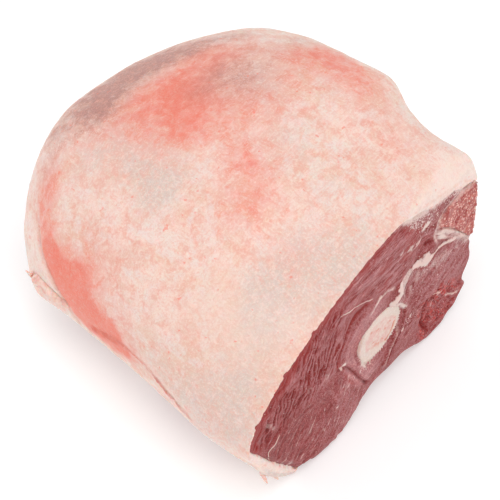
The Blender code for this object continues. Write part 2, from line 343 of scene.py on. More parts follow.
def grid_quads(numbers):
    """Quads of a grid of vertex numbers."""
    a = numbers[:-1, :-1].ravel()
    b = numbers[:-1, 1:].ravel()
    c = numbers[1:, 1:].ravel()
    d = numbers[1:, :-1].ravel()
    return np.column_stack([a, b, c, d]).tolist()


def zip_rings(ring_a, ring_b, vertices):
    """Triangles between two closed rings of different counts, matched by their length."""
    ring_a = np.asarray(ring_a)
    ring_b = np.asarray(ring_b)
    gaps = np.linalg.norm(vertices[ring_b] - vertices[ring_a[0]], axis=1)
    ring_b = np.roll(ring_b, -int(np.argmin(gaps)))
    ahead = vertices[ring_a[len(ring_a) // 10]]
    step = len(ring_b) // 10
    same = np.linalg.norm(vertices[ring_b[step]] - ahead)
    other = np.linalg.norm(vertices[ring_b[-step]] - ahead)
    if other < same:
        ring_b = np.roll(ring_b[::-1], 1)

    def walk(ring):
        points = vertices[ring]
        steps = np.linalg.norm(np.roll(points, -1, axis=0) - points, axis=1)
        return np.concatenate([[0], np.cumsum(steps)]) / steps.sum()
    walk_a = walk(ring_a)
    walk_b = walk(ring_b)
    i = 0
    j = 0
    faces = []
    while i < len(ring_a) or j < len(ring_b):
        a = int(ring_a[i % len(ring_a)])
        b = int(ring_b[j % len(ring_b)])
        step_a = j >= len(ring_b) or (i < len(ring_a) and walk_a[i + 1] <= walk_b[j + 1])
        if step_a:
            faces.append((a, int(ring_a[(i + 1) % len(ring_a)]), b))
            i += 1
        else:
            faces.append((a, int(ring_b[(j + 1) % len(ring_b)]), b))
            j += 1
    return faces


def ring_of(numbers):
    """Border of a grid of vertex numbers, once round."""
    return np.concatenate([numbers[0], numbers[1:, -1], numbers[-1, -2::-1], numbers[-2:0:-1, 0]])


def make_piece(name, vertices, faces, material, masks, node=None):
    """Mesh object with its masks, riding on the leg."""
    mesh = bpy.data.meshes.new(name)
    mesh.from_pydata(np.asarray(vertices).tolist(), [], faces)
    mesh.validate()
    mesh.shade_smooth()
    for mask, values in masks.items():
        layer = mesh.attributes.new(mask, "FLOAT", "POINT")
        layer.data.foreach_set("value", np.asarray(values, np.float32))
    mesh.materials.append(material)
    piece = bpy.data.objects.new(name, mesh)
    bpy.context.scene.collection.objects.link(piece)
    bpy.context.view_layer.objects.active = piece
    piece.select_set(True)
    bpy.ops.object.mode_set(mode="EDIT")
    bpy.ops.mesh.select_all(action="SELECT")
    bpy.ops.mesh.normals_make_consistent(inside=False)
    bpy.ops.object.mode_set(mode="OBJECT")
    piece.select_set(False)
    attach(piece, "root")
    if node:
        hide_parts(node)


# Materials

class Nodes:
    """Short ways to add shader nodes to one material."""

    def __init__(self, name):
        self.material = bpy.data.materials.new(name)
        self.material.use_nodes = True
        self.tree = self.material.node_tree
        self.shader = self.tree.nodes["Principled BSDF"]
        coordinates = self.tree.nodes.new("ShaderNodeTexCoord")
        self.place = coordinates.outputs["Object"]

    def link(self, source, socket):
        if isinstance(source, (int, float)):
            socket.default_value = source
        elif isinstance(source, tuple):
            socket.default_value = (*source, 1) if len(socket.default_value) == 4 else source
        else:
            self.tree.links.new(source, socket)

    def mask(self, name):
        return self.add("Attribute", "Fac", {}, attribute_name=name)

    def add(self, kind, output, inputs, **settings):
        """New node with its inputs and settings, and the output wanted."""
        node = self.tree.nodes.new("ShaderNode" + kind)
        for name, value in settings.items():
            setattr(node, name, value)
        for name, value in inputs.items():
            self.link(value, node.inputs[name])
        return node.outputs[output]

    def scaled(self, stretch, turn):
        inputs = {"Vector": self.place, "Rotation": turn, "Scale": stretch}
        return self.add("Mapping", "Vector", inputs)

    def turned(self, *turn):
        return self.scaled((1, 1, 1), turn)

    def drawn(self, direction, long, wide):
        """Coordinates of the cut drawn out along a direction, in degrees from +Y."""
        inputs = {"Vector": self.place, "Rotation": (math.radians(direction), 0, 0),
                  "Scale": (wide * 2, long, wide)}
        return self.add("Mapping", "Vector", inputs, vector_type="TEXTURE")

    def noise(self, scale, detail=3.0, rough=0.55, distort=0.0, vector=None):
        inputs = {"Vector": vector or self.place, "Scale": scale, "Detail": detail,
                  "Roughness": rough, "Distortion": distort}
        return self.add("TexNoise", "Fac", inputs)

    def cells(self, scale, vector=None):
        inputs = {"Vector": vector or self.place, "Scale": scale}
        return self.add("TexVoronoi", "Distance", inputs)

    def ramp(self, value, low, high, start=0.0, end=1.0):
        """Value from start to end as the input goes from low to high."""
        inputs = {"Value": value, "From Min": low, "From Max": high, "To Min": start, "To Max": end}
        return self.add("MapRange", "Result", inputs, interpolation_type="SMOOTHSTEP")

    def math(self, operation, a, b=0.0):
        return self.add("Math", "Value", {0: a, 1: b}, operation=operation)

    def times(self, a, b):
        return self.math("MULTIPLY", a, b)

    def plus(self, a, b):
        return self.math("ADD", a, b)

    def most(self, a, b):
        return self.math("MAXIMUM", a, b)

    def mix(self, share, a, b):
        return self.add("Mix", "Result", {"Factor": share, "A": a, "B": b}, data_type="RGBA")

    def bump(self, height, depth):
        inputs = {"Height": height, "Distance": depth, "Strength": 1.0}
        return self.add("Bump", "Normal", inputs)

    def finish(self, color, rough, normal, wet, depth, soft, shine=0.5):
        """Give the shader its colour, gloss, relief, wet coat and soft depth."""
        values = {"Base Color": color, "Roughness": rough, "Normal": normal, "IOR": 1.4,
                  "Coat Weight": wet, "Coat Roughness": 0.25, "Subsurface Weight": 1.0,
                  "Subsurface Scale": depth, "Subsurface Radius": soft,
                  "Specular IOR Level": shine}
        for name, value in values.items():
            self.link(value, self.shader.inputs[name])
        return self.material


FAT_CREAM = (0.790, 0.555, 0.475)
FAT_PALE = (0.870, 0.700, 0.630)
FAT_COOL = (0.810, 0.705, 0.660)
FAT_TAN = (0.780, 0.545, 0.425)
FAT_PEACH = (0.805, 0.600, 0.500)
FAT_PINK = (0.785, 0.410, 0.325)
FAT_SALMON = (0.825, 0.190, 0.130)
FAT_GREY = (0.665, 0.550, 0.500)
# Painted shade: dark purple-brown where the skin turns away at its top edge
FAT_PURPLE_SHADE = (0.450, 0.225, 0.195)
FAT_SAWN = (0.775, 0.650, 0.600)
RAW_RED = (0.68, 0.13, 0.10)
RAW_PINK = (0.80, 0.30, 0.23)


def fat_material():
    """Cream fat with pink mottling, blushes, grey patches, purple-brown painted shade where the
    skin turns away at its top edge, and short pale streaks.
    """
    n = Nodes("fat")
    broad = n.noise(75, 4, 0.6)
    other = n.noise(60, 4, 0.6, 0, n.turned(2, 1, 0))
    cloudy = n.noise(190, 5, 0.62, 0.6)
    mottle = n.noise(460, 4, 0.68, 0.9, n.turned(0, 1, 2))
    grain = n.noise(1450, 3, 0.75, 0.4)
    veins = n.math("ABSOLUTE", n.math("SUBTRACT", n.noise(330, 5, 0.62, 0.8), 0.5))
    cool = n.noise(130, 5, 0.62, 0.3, n.turned(1, 1, 2))
    streaks = []
    for turn, stretch in ((0.5, (1, 0.16, 0.5)), (-0.7, (0.18, 1, 0.5)), (1.4, (1, 0.2, 1))):
        streaks.append(n.noise(1300, 3, 0.6, 0.3, n.scaled(stretch, (0, 0, turn))))
    fibres = n.mix(n.ramp(n.noise(170, 2), 0.42, 0.58), streaks[0], streaks[1])
    where = n.noise(140, 2, 0.5, 0, n.turned(1, 2, 0))
    fibres = n.mix(n.ramp(where, 0.45, 0.6), fibres, streaks[2])
    color = FAT_CREAM
    for value, low, high, most, tint in (
            (broad, 0.40, 0.62, 0.80, FAT_PALE), (other, 0.48, 0.62, 0.80, FAT_TAN),
            (cloudy, 0.47, 0.63, 0.72, FAT_PINK), (cool, 0.48, 0.60, 0.80, FAT_COOL)):
        color = n.mix(n.ramp(value, low, high, 0, most), color, tint)
    color = n.mix(n.ramp(n.mask("tan"), 0, 1.2), color, FAT_PEACH)
    sawn = n.mix(n.ramp(mottle, 0.35, 0.65), FAT_SAWN, FAT_PALE)
    color = n.mix(n.mask("sawn"), color, sawn)
    # Masks: range of the cloudy noise, share at its ends, full strength and colour
    patches = {}
    for name, low, high, start, end, full, tint in (
            ("grey", 0.3, 0.7, 1.15, 0.55, 1.1, FAT_GREY),
            ("blush", 0.25, 0.72, 0.72, 1.2, 1.1, FAT_SALMON),
            # The purple patches are painted shade where the skin turns away at its top edge
            ("purple_shade", 0.3, 0.7, 0.65, 1.15, 1.0, FAT_PURPLE_SHADE),
            ("pale", 0.25, 0.8, 1.15, 0.5, 1.2, FAT_PALE)):
        patches[name] = n.times(n.mask(name), n.ramp(cloudy, low, high, start, end))
        color = n.mix(n.ramp(patches[name], 0, full), color, tint)
    # Felt of fine fibres and grains, paler on plain fat than on a blush
    plain = n.ramp(n.most(patches["blush"], patches["purple_shade"]), 0.2, 1.0, 1.0, 0.22)
    calm = n.ramp(n.most(n.mask("tan"), n.mask("sawn")), 0.1, 0.9, 1.0, 0.40)

    def fleck(color, value, pale, pink):
        lighter = n.times(n.ramp(value, 0.52, 0.64, 0, pale), plain)
        color = n.mix(lighter, color, FAT_PALE)
        darker = n.times(n.ramp(value, 0.48, 0.36, 0, pink), calm)
        return n.mix(darker, color, FAT_PINK)
    color = fleck(color, mottle, 0.46, 0.36)
    color = fleck(color, fibres, 0.42, 0.40)
    color = n.mix(n.ramp(veins, 0.022, 0.0, 0, 0.35), color, FAT_PINK)
    color = fleck(color, grain, 0.50, 0.38)
    spots = n.noise(420, 2, 0.5, 0, n.turned(2, 0, 1))
    color = n.mix(n.ramp(spots, 0.68, 0.76, 0, 0.55), color, FAT_SALMON)
    raw = n.mix(n.ramp(mottle, 0.35, 0.65), RAW_RED, RAW_PINK)
    color = n.mix(n.mask("raw"), color, raw)
    height = n.plus(n.times(fibres, 0.6), n.times(grain, 0.35))
    height = n.plus(height, n.times(mottle, 0.7))
    rough = n.ramp(cloudy, 0.3, 0.7, 0.46, 0.60)
    return n.finish(color, rough, n.bump(height, 0.00022), 0.04, 0.0004, (1.0, 0.42, 0.30))


LEAN_DARK = (0.180, 0.010, 0.010)
LEAN_RED = (0.280, 0.038, 0.036)
LEAN_MAUVE = (0.385, 0.130, 0.135)
LEAN_PINK = (0.560, 0.245, 0.240)
LEAN_BRIGHT = (0.310, 0.024, 0.021)
LEAN_SHRED = (0.520, 0.060, 0.050)
LEAN_BLOOD = (0.215, 0.005, 0.005)
SINEW = (0.740, 0.560, 0.510)


def lean_material():
    """Raw muscle: purple red, drawn-out fibres, pale seams, torn and marbled places, and painted
    glints of wet shine.
    """
    n = Nodes("lean_meat")
    fine = n.noise(1500, 3, 0.65)
    grain = n.noise(2600, 2, 0.6)
    cloudy = n.noise(420, 4, 0.6, 0.5)
    steep = n.noise(1, 3, 0.6, 0.5, n.drawn(70, 0.0042, 0.00062))
    level = n.noise(1, 3, 0.6, 0.5, n.drawn(8, 0.0040, 0.00060))
    fibres = n.mix(n.mask("upper"), n.mix(n.mask("wrinkle"), fine, steep), level)
    tone = n.plus(n.mask("tone"), n.ramp(cloudy, 0.25, 0.75, -0.15, 0.15))
    tone = n.plus(tone, n.ramp(fibres, 0.3, 0.7, -0.24, 0.24))
    tone = n.plus(tone, n.ramp(grain, 0.3, 0.7, -0.14, 0.14))
    color = n.mix(n.ramp(tone, 0.0, 0.34), LEAN_DARK, LEAN_RED)
    color = n.mix(n.ramp(tone, 0.34, 0.64), color, LEAN_MAUVE)
    color = n.mix(n.ramp(tone, 0.64, 1.0), color, LEAN_PINK)
    bright = n.times(n.mask("bright"), n.ramp(fibres, 0.3, 0.7, 1.15, 0.70))
    color = n.mix(n.ramp(bright, 0, 1), color, LEAN_BRIGHT)
    # Torn meat: bright red shreds with black-red hollows and pale pink flakes between them
    rag = n.noise(560, 4, 0.7, 0.8, n.turned(0, 2, 1))
    shreds = n.times(n.mask("torn"), n.ramp(rag, 0.49, 0.56, 0, 0.90))
    color = n.mix(shreds, color, LEAN_SHRED)
    flakes = n.noise(760, 3, 0.65, 0.6, n.turned(1, 0, 1))
    flakes = n.times(n.mask("torn"), n.ramp(flakes, 0.57, 0.65, 0, 0.75))
    color = n.mix(flakes, color, LEAN_PINK)
    hollows = n.times(n.mask("torn"), n.ramp(rag, 0.44, 0.38))
    blood = n.times(n.mask("blood"), n.ramp(cloudy, 0.3, 0.7, 0.6, 1.3))
    blood = n.most(blood, hollows)
    color = n.mix(n.ramp(blood, 0.1, 1), color, LEAN_BLOOD)
    # Painted highlights: small pale glints of wet shine all over the meat, a few more on the torn
    # meat
    painted_glints = n.noise(1150, 2, 0.6, 0, n.turned(1, 0, 2))
    painted_glints = n.plus(painted_glints, n.times(n.mask("torn"), 0.05))
    color = n.mix(n.ramp(painted_glints, 0.68, 0.74, 0, 0.60), color, SINEW)
    # Marbling: pale crumbs that crowd together towards the fat
    crumbs = n.noise(1150, 3, 0.62, 0.2, n.turned(2, 1, 0))
    crumbs = n.ramp(n.plus(crumbs, n.times(n.mask("marble"), 0.19)), 0.66, 0.76)
    white = n.times(n.mask("white"), n.ramp(fine, 0.2, 0.75, 0.7, 1.25))
    crumbs = n.times(crumbs, n.ramp(n.mask("marble"), 0, 0.3, 0, 0.75))
    white = n.most(white, crumbs)
    color = n.mix(n.ramp(white, 0.08, 0.95), color, SINEW)
    height = n.plus(n.times(fibres, 0.7), n.times(grain, 0.3))
    rough = n.ramp(cloudy, 0.3, 0.7, 0.40, 0.54)
    normal = n.bump(height, 0.00024)
    return n.finish(color, rough, normal, 0.03, 0.0003, (1.0, 0.30, 0.25), 0.35)


BONE_RIM = (0.740, 0.590, 0.520)
BONE_CORE = (0.740, 0.440, 0.390)
BONE_PALE = (0.860, 0.750, 0.690)
BONE_PINK = (0.660, 0.380, 0.320)
BONE_PIT = (0.550, 0.250, 0.210)
BONE_STAIN = (0.680, 0.190, 0.100)
MARROW_DARK = (0.370, 0.055, 0.048)
MARROW_RED = (0.540, 0.170, 0.145)
MARROW_PALE = (0.620, 0.230, 0.190)
GRAIN_PALE = (0.800, 0.520, 0.450)
HIP_PINK = (0.700, 0.430, 0.390)


def bone_material():
    """Sawn bone: pale dense rim, pinkish finely pitted middle."""
    n = Nodes("bone")
    pits = n.cells(1500)
    fine = n.noise(1300, 4, 0.7)
    blotch = n.noise(300, 3, 0.6, 0.4)
    core = n.times(n.mask("core"), n.ramp(blotch, 0.35, 0.65, 0.3, 1.0))
    color = n.mix(n.ramp(core, 0.1, 1.0), BONE_RIM, BONE_CORE)
    color = n.mix(n.ramp(fine, 0.52, 0.68, 0, 0.7), color, BONE_PALE)
    color = n.mix(n.ramp(fine, 0.47, 0.30, 0, 0.5), color, BONE_PINK)
    color = n.mix(n.ramp(pits, 0.20, 0.03, 0, 0.35), color, BONE_PIT)
    color = n.mix(n.mask("stain"), color, BONE_STAIN)
    height = n.plus(n.times(pits, 0.6), n.times(fine, 0.4))
    return n.finish(color, 0.50, n.bump(height, 0.00025), 0.03, 0.0004, (1.0, 0.4, 0.3))


def spongy_material():
    """Sawn spongy bone: red marrow with pale grains, and a pale skin at its edge."""
    n = Nodes("spongy_bone")
    grains = n.cells(900, n.turned(0.4, 0.2, 0.7))
    fine = n.noise(1300, 3, 0.65)
    blotch = n.noise(260, 3, 0.6, 0.4)
    marrow = n.mix(n.ramp(blotch, 0.35, 0.65), MARROW_DARK, MARROW_RED)
    marrow = n.mix(n.ramp(fine, 0.5, 0.7, 0, 0.5), marrow, MARROW_PALE)
    crowd = n.plus(grains, n.ramp(blotch, 0.35, 0.65, 0.14, -0.10))
    spots = n.times(n.ramp(crowd, 0.44, 0.28), n.ramp(fine, 0.35, 0.55, 0.2, 1.0))
    color = n.mix(n.times(spots, n.mask("grain")), marrow, GRAIN_PALE)
    color = n.mix(n.mask("pink"), color, HIP_PINK)
    color = n.mix(n.mask("white"), color, SINEW)
    normal = n.bump(grains, -0.0005)
    return n.finish(color, 0.46, normal, 0.03, 0.0004, (1.0, 0.35, 0.25), 0.4)


# Fat cover

# Colour patches on the skin: x, y, z of the middle and the radius, in mm, and the strength
BLUSHES = (
    (-27, 0, 101, 19, 0.6), (-26, -1, 102, 8, 0.22), (-20, -20, 99, 14, 0.34),
    (-36, -22, 95, 12, 0.26), (-17, 8, 105, 13, 0.25), (16, -13, 105, 12, 0.44),
    (15, -14, 106, 6, 0.16), (27, -28, 100, 12, 0.22), (31, -20, 102, 10, 0.18),
    (50, -15, 98, 10, 0.18), (48, -31, 93, 9, 0.28), (24, -33, 99, 10, 0.25),
    (-4, 44, 104, 11, 0.22), (0, 35, 106, 11, 0.22), (-34, -66, 54, 9, 0.3),
    (8, 14, 107, 12, 0.18), (15, 42, 106, 13, 0.46), (24, 44, 105, 10, 0.3),
    (-6, 40, 104, 12, 0.3), (-25, 34, 100, 12, 0.34), (38, 36, 104, 14, 0.22),
    (51, 28, 101, 10, 0.22), (36, 12, 105, 14, 0.1), (56, 36, 97, 8, 0.16),
    (-48, -24, 92, 14, 0.26), (-51, -40, 83, 12, 0.26), (-54, -48, 74, 10, 0.3),
    (-42, 22, 96, 13, 0.34), (-34, 19, 99, 10, 0.2), (-9, -14, 105, 12, 0.4),
    (0, 2, 108, 14, 0.26), (1, 17, 108, 15, 0.2), (-28, 22, 100, 12, 0.18),
    (-24, -68, 58, 11, 0.72), (-20, -68, 47, 10, 0.8), (-7, -71, 52, 9, 0.75),
    (0, -72, 50, 7, 0.75), (-33, -66, 48, 8, 0.7), (-38, -62, 62, 9, 0.4),
    (-37, -64, 57, 7, 0.6), (-42, -61, 63, 7, 0.35), (-47, -56, 69, 8, 0.34),
    (-51, -49, 76, 9, 0.28), (-10, -67, 68, 11, 0.28), (-21, -66, 66, 8, 0.28),
    (-14, -63, 74, 13, 0.22), (6, -70, 64, 9, 0.22), (-13, -52, 86, 14, 0.14),
    (-33, -52, 80, 12, 0.12), (62, -50, 76, 8, 0.08), (40, -66, 66, 10, 0.06),
    (12, -74, 50, 7, 0.4), (24, -75, 48, 7, 0.26), (-51, -56, 62, 10, 0.2),
    (-18, -69, 42, 8, 0.6), (-11, -70, 41, 8, 0.75), (-3, -71, 42, 8, 0.75),
    (4, -72, 43, 7, 0.6), (-14, -71, 48, 8, 0.45), (-30, 0, 100, 12, 0.14),
    (20, -21, 103, 10, 0.12), (-40, -4, 98, 11, 0.3), (-26, 23, 101, 11, 0.12),
    (-42, 31, 96, 9, 0.2), (2, 51, 101, 9, 0.45), (12, 50, 102, 8, 0.25),
    (-30, 48, 94, 9, 0.15), (-50, 10, 93, 8, 0.15), (-48, -12, 94, 9, 0.18),
    (-50, -43, 82, 7, -0.15),
)
GREYS = (
    (-5, -37, 98, 9, 0.6), (-5, -43, 95, 8, 0.5), (46, -40, 90, 9, 0.45),
    (55, -27, 92, 13, 0.45), (-2, 11, 108, 12, 0.2), (-14, 18, 105, 11, 0.2),
    (-20, -36, 95, 8, 0.35), (49, -26, 94, 9, 0.4), (-58, 8, 89, 9, 0.2),
    (24, 0, 106, 12, 0.4), (47, 5, 102, 10, 0.22), (60, -62, 58, 12, 0.5),
    (30, -74, 50, 12, 0.45), (48, -76, 46, 12, 0.55), (-30, 30, 100, 14, 0.15),
    (-46, 4, 94, 13, 0.15), (46, -72, 62, 14, 0.4), (21, -74, 61, 12, 0.3),
    (12, 18, 107, 13, 0.2), (-40, -45, 84, 12, 0.25), (52, -45, 84, 12, 0.35),
    (66, -70, 48, 9, 0.5), (61, -48, 79, 9, 0.3), (58, -19, 93, 9, 0.4),
    (59, -7, 95, 8, 0.3), (44, -6, 101, 10, 0.28), (68, -68, 16, 8, 0.9),
    (69, -60, 8, 8, 1), (69, -52, 3, 8, 0.8), (70, -64, 12, 6, 0.5),
    (67, -20, 89, 9, 0.55), (69, -23, 86, 8, 0.6), (66, -38, 84, 8, 0.45), (67, -6, 93, 9, 0.45),
    (67, 8, 97, 8, 0.35), (48, -45, 86, 9, 0.45), (55, -48, 81, 9, 0.3),
    (-5, -37, 98, 7, 0.3), (-40, -38, 88, 8, 0.3), (22, 6, 107, 10, 0.15),
    (-10, 16, 106, 14, 0.35), (-18, -28, 99, 12, 0.4), (-30, -32, 94, 11, 0.4),
    (-2, -30, 101, 10, 0.35), (-37, -34, 92, 9, 0.3), (-18, -14, 102, 11, 0.25),
    (50, -52, 80, 12, 0.35), (-7, 43, 104, 11, 0.35), (-34, -21, 97, 10, 0.3),
    (64, -76, 51, 10, 0.35), (60, -62, 68, 10, 0.3), (56, -71, 60, 10, 0.25),
)
# Purple-brown painted shade where the skin turns away along its upper far edge and at the far end
PURPLE_SHADES = (
    (-54, -12, 92, 9, 0.5), (-60, 2, 88, 9, 0.6), (-54, 10, 91, 8, 0.5),
    (-46, 24, 94, 9, 0.4), (-50, -24, 91, 9, 0.38), (-48, 16, 94, 7, 0.28),
    (-62, -26, 82, 9, 0.45), (-64, -12, 84, 9, 0.45), (-56, -38, 80, 9, 0.28),
    (-36, 40, 95, 9, 0.25), (-57, -46, 72, 7, 0.25), (-66, -30, 76, 8, 0.4),
    (-18, -37, 95, 3, 0.25), (-14, -32, 98, 2.5, 0.25), (-51, 2, 93, 10, 0.3),
    (-51, -14, 92, 10, 0.28), (-25, 36, 99, 12, 0.14), (-10, 44, 102, 12, 0.12),
    (-53, -20, 91, 8, 0.25), (-56, -4, 90, 8, 0.3), (-54, 6, 92, 8, 0.3),
    (-52, 13, 92, 8, 0.3), (-49, 20, 93, 8, 0.32), (-45, 28, 94, 8, 0.32),
    (-42, 36, 93, 8, 0.28), (-36, 46, 92, 8, 0.15), (-14, 52, 98, 9, 0.25),
    (-52, -29, 88, 8, 0.15), (-61, -12, 86, 10, 0.3), (-61, 6, 86, 10, 0.35),
    (-59, 20, 86, 10, 0.3), (-55, 32, 85, 9, 0.28), (-17, 18, 105, 13, 0.34),
    (-22, 4, 103, 12, 0.28), (-4, 14, 107, 12, 0.26), (-7, 30, 106, 12, 0.1),
    (-25, 20, 102, 12, 0.16), (-34, -22, 97, 12, 0.12),
)
PALES = (
    (-41, -53, 77, 10, 0.4), (-29, -46, 87, 9, 0.4), (28, -50, 89, 14, 0.3),
    (65, -44, 80, 7, 0.3), (24, 10, 107, 10, 0.25), (67, 33, 95, 9, 0.85),
    (8, -50, 91, 10, 0.25), (62, 40, 94, 8, 0.7), (-16, -48, 90, 8, 0.3),
    (66, 18, 97, 7, 0.3), (55, 20, 101, 9, 0.25), (60, 50, 84, 9, 0.6),
    (50, -52, 82, 14, 0.35), (60, -46, 81, 10, 0.25), (68, 42, 90, 8, 0.5),
)
TANS = (
    (44, -50, 84, 12, 0.5), (56, -50, 79, 10, 0.5), (61, -44, 82, 10, 0.5),
    (48, -60, 74, 13, 0.4), (60, -62, 68, 11, 0.4), (52, -70, 60, 11, 0.3),
    (34, -52, 87, 12, 0.3), (30, -62, 76, 12, 0.25), (64, -30, 90, 9, 0.35),
    (64, -10, 95, 9, 0.3),
)
# Raw strip along the lower near edge, in mm along the skin and degrees round it
RAW_STRIP = ((80, 194), (74, 190), (66, 184), (57, 183), (47, 187), (39, 190), (31, 194))
# Crease where the pale lobe tucks behind the cover, in mm along and degrees round
LOBE_CREASE = ((123, 152), (119.6, 160), (113, 168), (106, 173.5), (102, 180), (97, 195),
               (94, 207))
# Millimetres to a degree round the skin, about
MM_PER_DEGREE = 1.15
# Broad pushes of the skin: mm along, degrees round, height in mm and the two half widths
SKIN_FORMS = (
    (56, 189, -1.6, 16, 16), (22, 196, 1.4, 9, 16), (3, 208, -1.2, 6, 12),
    (126, 165, -1.3, 12, 22), (144, 90, 1, 9, 26), (43, 45, 1.6, 7, 12),
    (28, 50, 1.2, 8, 12), (108, 196, -2, 10, 12), (2, 38, 1.3, 10, 14),
)
# Bites in the edge of the skin at the cut: degrees round, mm back and half width in degrees
SKIN_BITES = ((144, 0.5, 1), (162, 0.6, 1.2), (132, 0.3, 0.9))


def skin_bites(degrees):
    """How far back the edge of the skin is torn at the cut."""
    back = np.zeros_like(degrees)
    for turn, depth, half_width in SKIN_BITES:
        back = back + depth * MM * bell(degrees - turn, half_width)
    return back


def patch_mask(points, patches):
    """Strength of a group of colour patches at the points."""
    total = np.zeros(len(points))
    for x, y, z, radius, strength in patches:
        away = np.linalg.norm(points - mm((x, y, z)), axis=1)
        total += strength * bell(away, radius * MM)
    return total


def cover_grid(rows, columns):
    """Skin points, outward directions, thickness and places of the cover."""
    fine = np.array([0, 0.15, 0.35, 0.6, 0.9, 1.25, 1.7]) * MM
    alongs = np.concatenate([fine, np.linspace(0.0023, END_ALONG, rows - len(fine) + 1)])
    found = []
    for along in alongs:
        first, last = cover_edges(along)
        spots = np.array([[along, 0, 0], [along, 1, 0], [along, 2, 0], [along, 3, 0]])
        wander = 0.6 * noise(spots[:2], 0.011, 41) + 0.4 * noise(spots[2:], 0.0035, 42)
        first += math.radians(5) * wander[0] - math.radians(1)
        last -= math.radians(7) * wander[1] - math.radians(1)
        points, normal, angle, walked = even_run(along, first, last, columns)
        thickness = fat_thickness(along, angle, walked)
        edge = np.minimum(walked, walked[-1] - walked)
        edge = np.minimum(edge, END_ALONG - along)
        place = np.column_stack([np.full_like(angle, along), np.degrees(angle)])
        found.append((points, normal, thickness, place, edge))
    return [np.array([row[k] for row in found]) for k in range(5)]


def skin_relief(points, place, edge):
    """Height of the skin over the plain form, and the strengths of its colour masks."""
    low = (clouds(points, 0.030, 3) - 0.5) * 0.0016
    middle = (clouds(points, 0.008, 5) - 0.5) * 0.00055
    small = (clouds(points, 0.0022, 7) - 0.5) * 0.00024
    at_cut = smooth(place[:, 0] / 0.012)
    height = low * (0.15 + 0.85 * at_cut) + middle * (0.3 + 0.7 * at_cut) + small
    flat = np.column_stack([place[:, 0] * 1000, place[:, 1] * MM_PER_DEGREE])
    for along, turn, top, long, wide in SKIN_FORMS:
        height += top * MM * bell(flat[:, 0] - along, long) * bell(place[:, 1] - turn, wide)
    raw_line = bend([(a, d * MM_PER_DEGREE) for a, d in RAW_STRIP])
    away = distance_to(flat, raw_line)[0]
    wobble = clouds(points, 0.006, 11) * 5
    strip = smooth(1.35 - (away + wobble - 2) / 5.0)
    curls = clouds(np.column_stack([flat * MM, np.zeros(len(flat))]) * (1, 1.8, 1), 0.0034, 13)
    height += strip * (curls - 0.55) * 0.0024
    raw = strip * smooth((curls - 0.42) / 0.22) * 0.60
    crease_line = bend([(a, d * MM_PER_DEGREE) for a, d in LOBE_CREASE])
    away, share = distance_to(flat, crease_line)
    height -= 0.0011 * bell(away, 1.3) * smooth(share * 6 + 0.1)
    edge_along = np.interp(flat[:, 1], crease_line[:, 1], crease_line[:, 0])
    beyond = smooth((flat[:, 0] - edge_along) / 1.6)
    beyond *= smooth((flat[:, 1] - 156 * MM_PER_DEGREE) / 8)
    crease_tint = 0.5 * bell(away - 0.4, 1.2) * smooth(share * 4)
    near_edge = bell(edge, 0.0022)
    height += near_edge * (clouds(points, 0.0035, 19) - 0.5) * 0.0014
    low_edge = bell(edge, 0.0040) * smooth((clouds(points, 0.006, 20) - 0.38) / 0.2)
    masks = {
        "blush": patch_mask(points, BLUSHES) * (1 - 0.9 * beyond) + 0.4 * low_edge,
        "grey": patch_mask(points, GREYS) * (1 - beyond),
        # Purple-brown painted shade where the skin turns away at its top edge
        "purple_shade": patch_mask(points, PURPLE_SHADES) * (1 - beyond),
        "pale": patch_mask(points, PALES) + beyond * 0.8,
        "tan": patch_mask(points, TANS) * (1 - beyond),
        "raw": np.clip(1.3 * raw * (1 - beyond) + crease_tint * 0.5, 0, 1),
    }
    return height, masks


def rounded_edge(edge, thickness, radius):
    """Drop of the skin near a free edge, a quarter round down to the thickness."""
    near = np.clip(1 - edge / radius, 0, 1)
    return thickness * (1 - np.sqrt(np.maximum(1 - near ** 2, 0)))


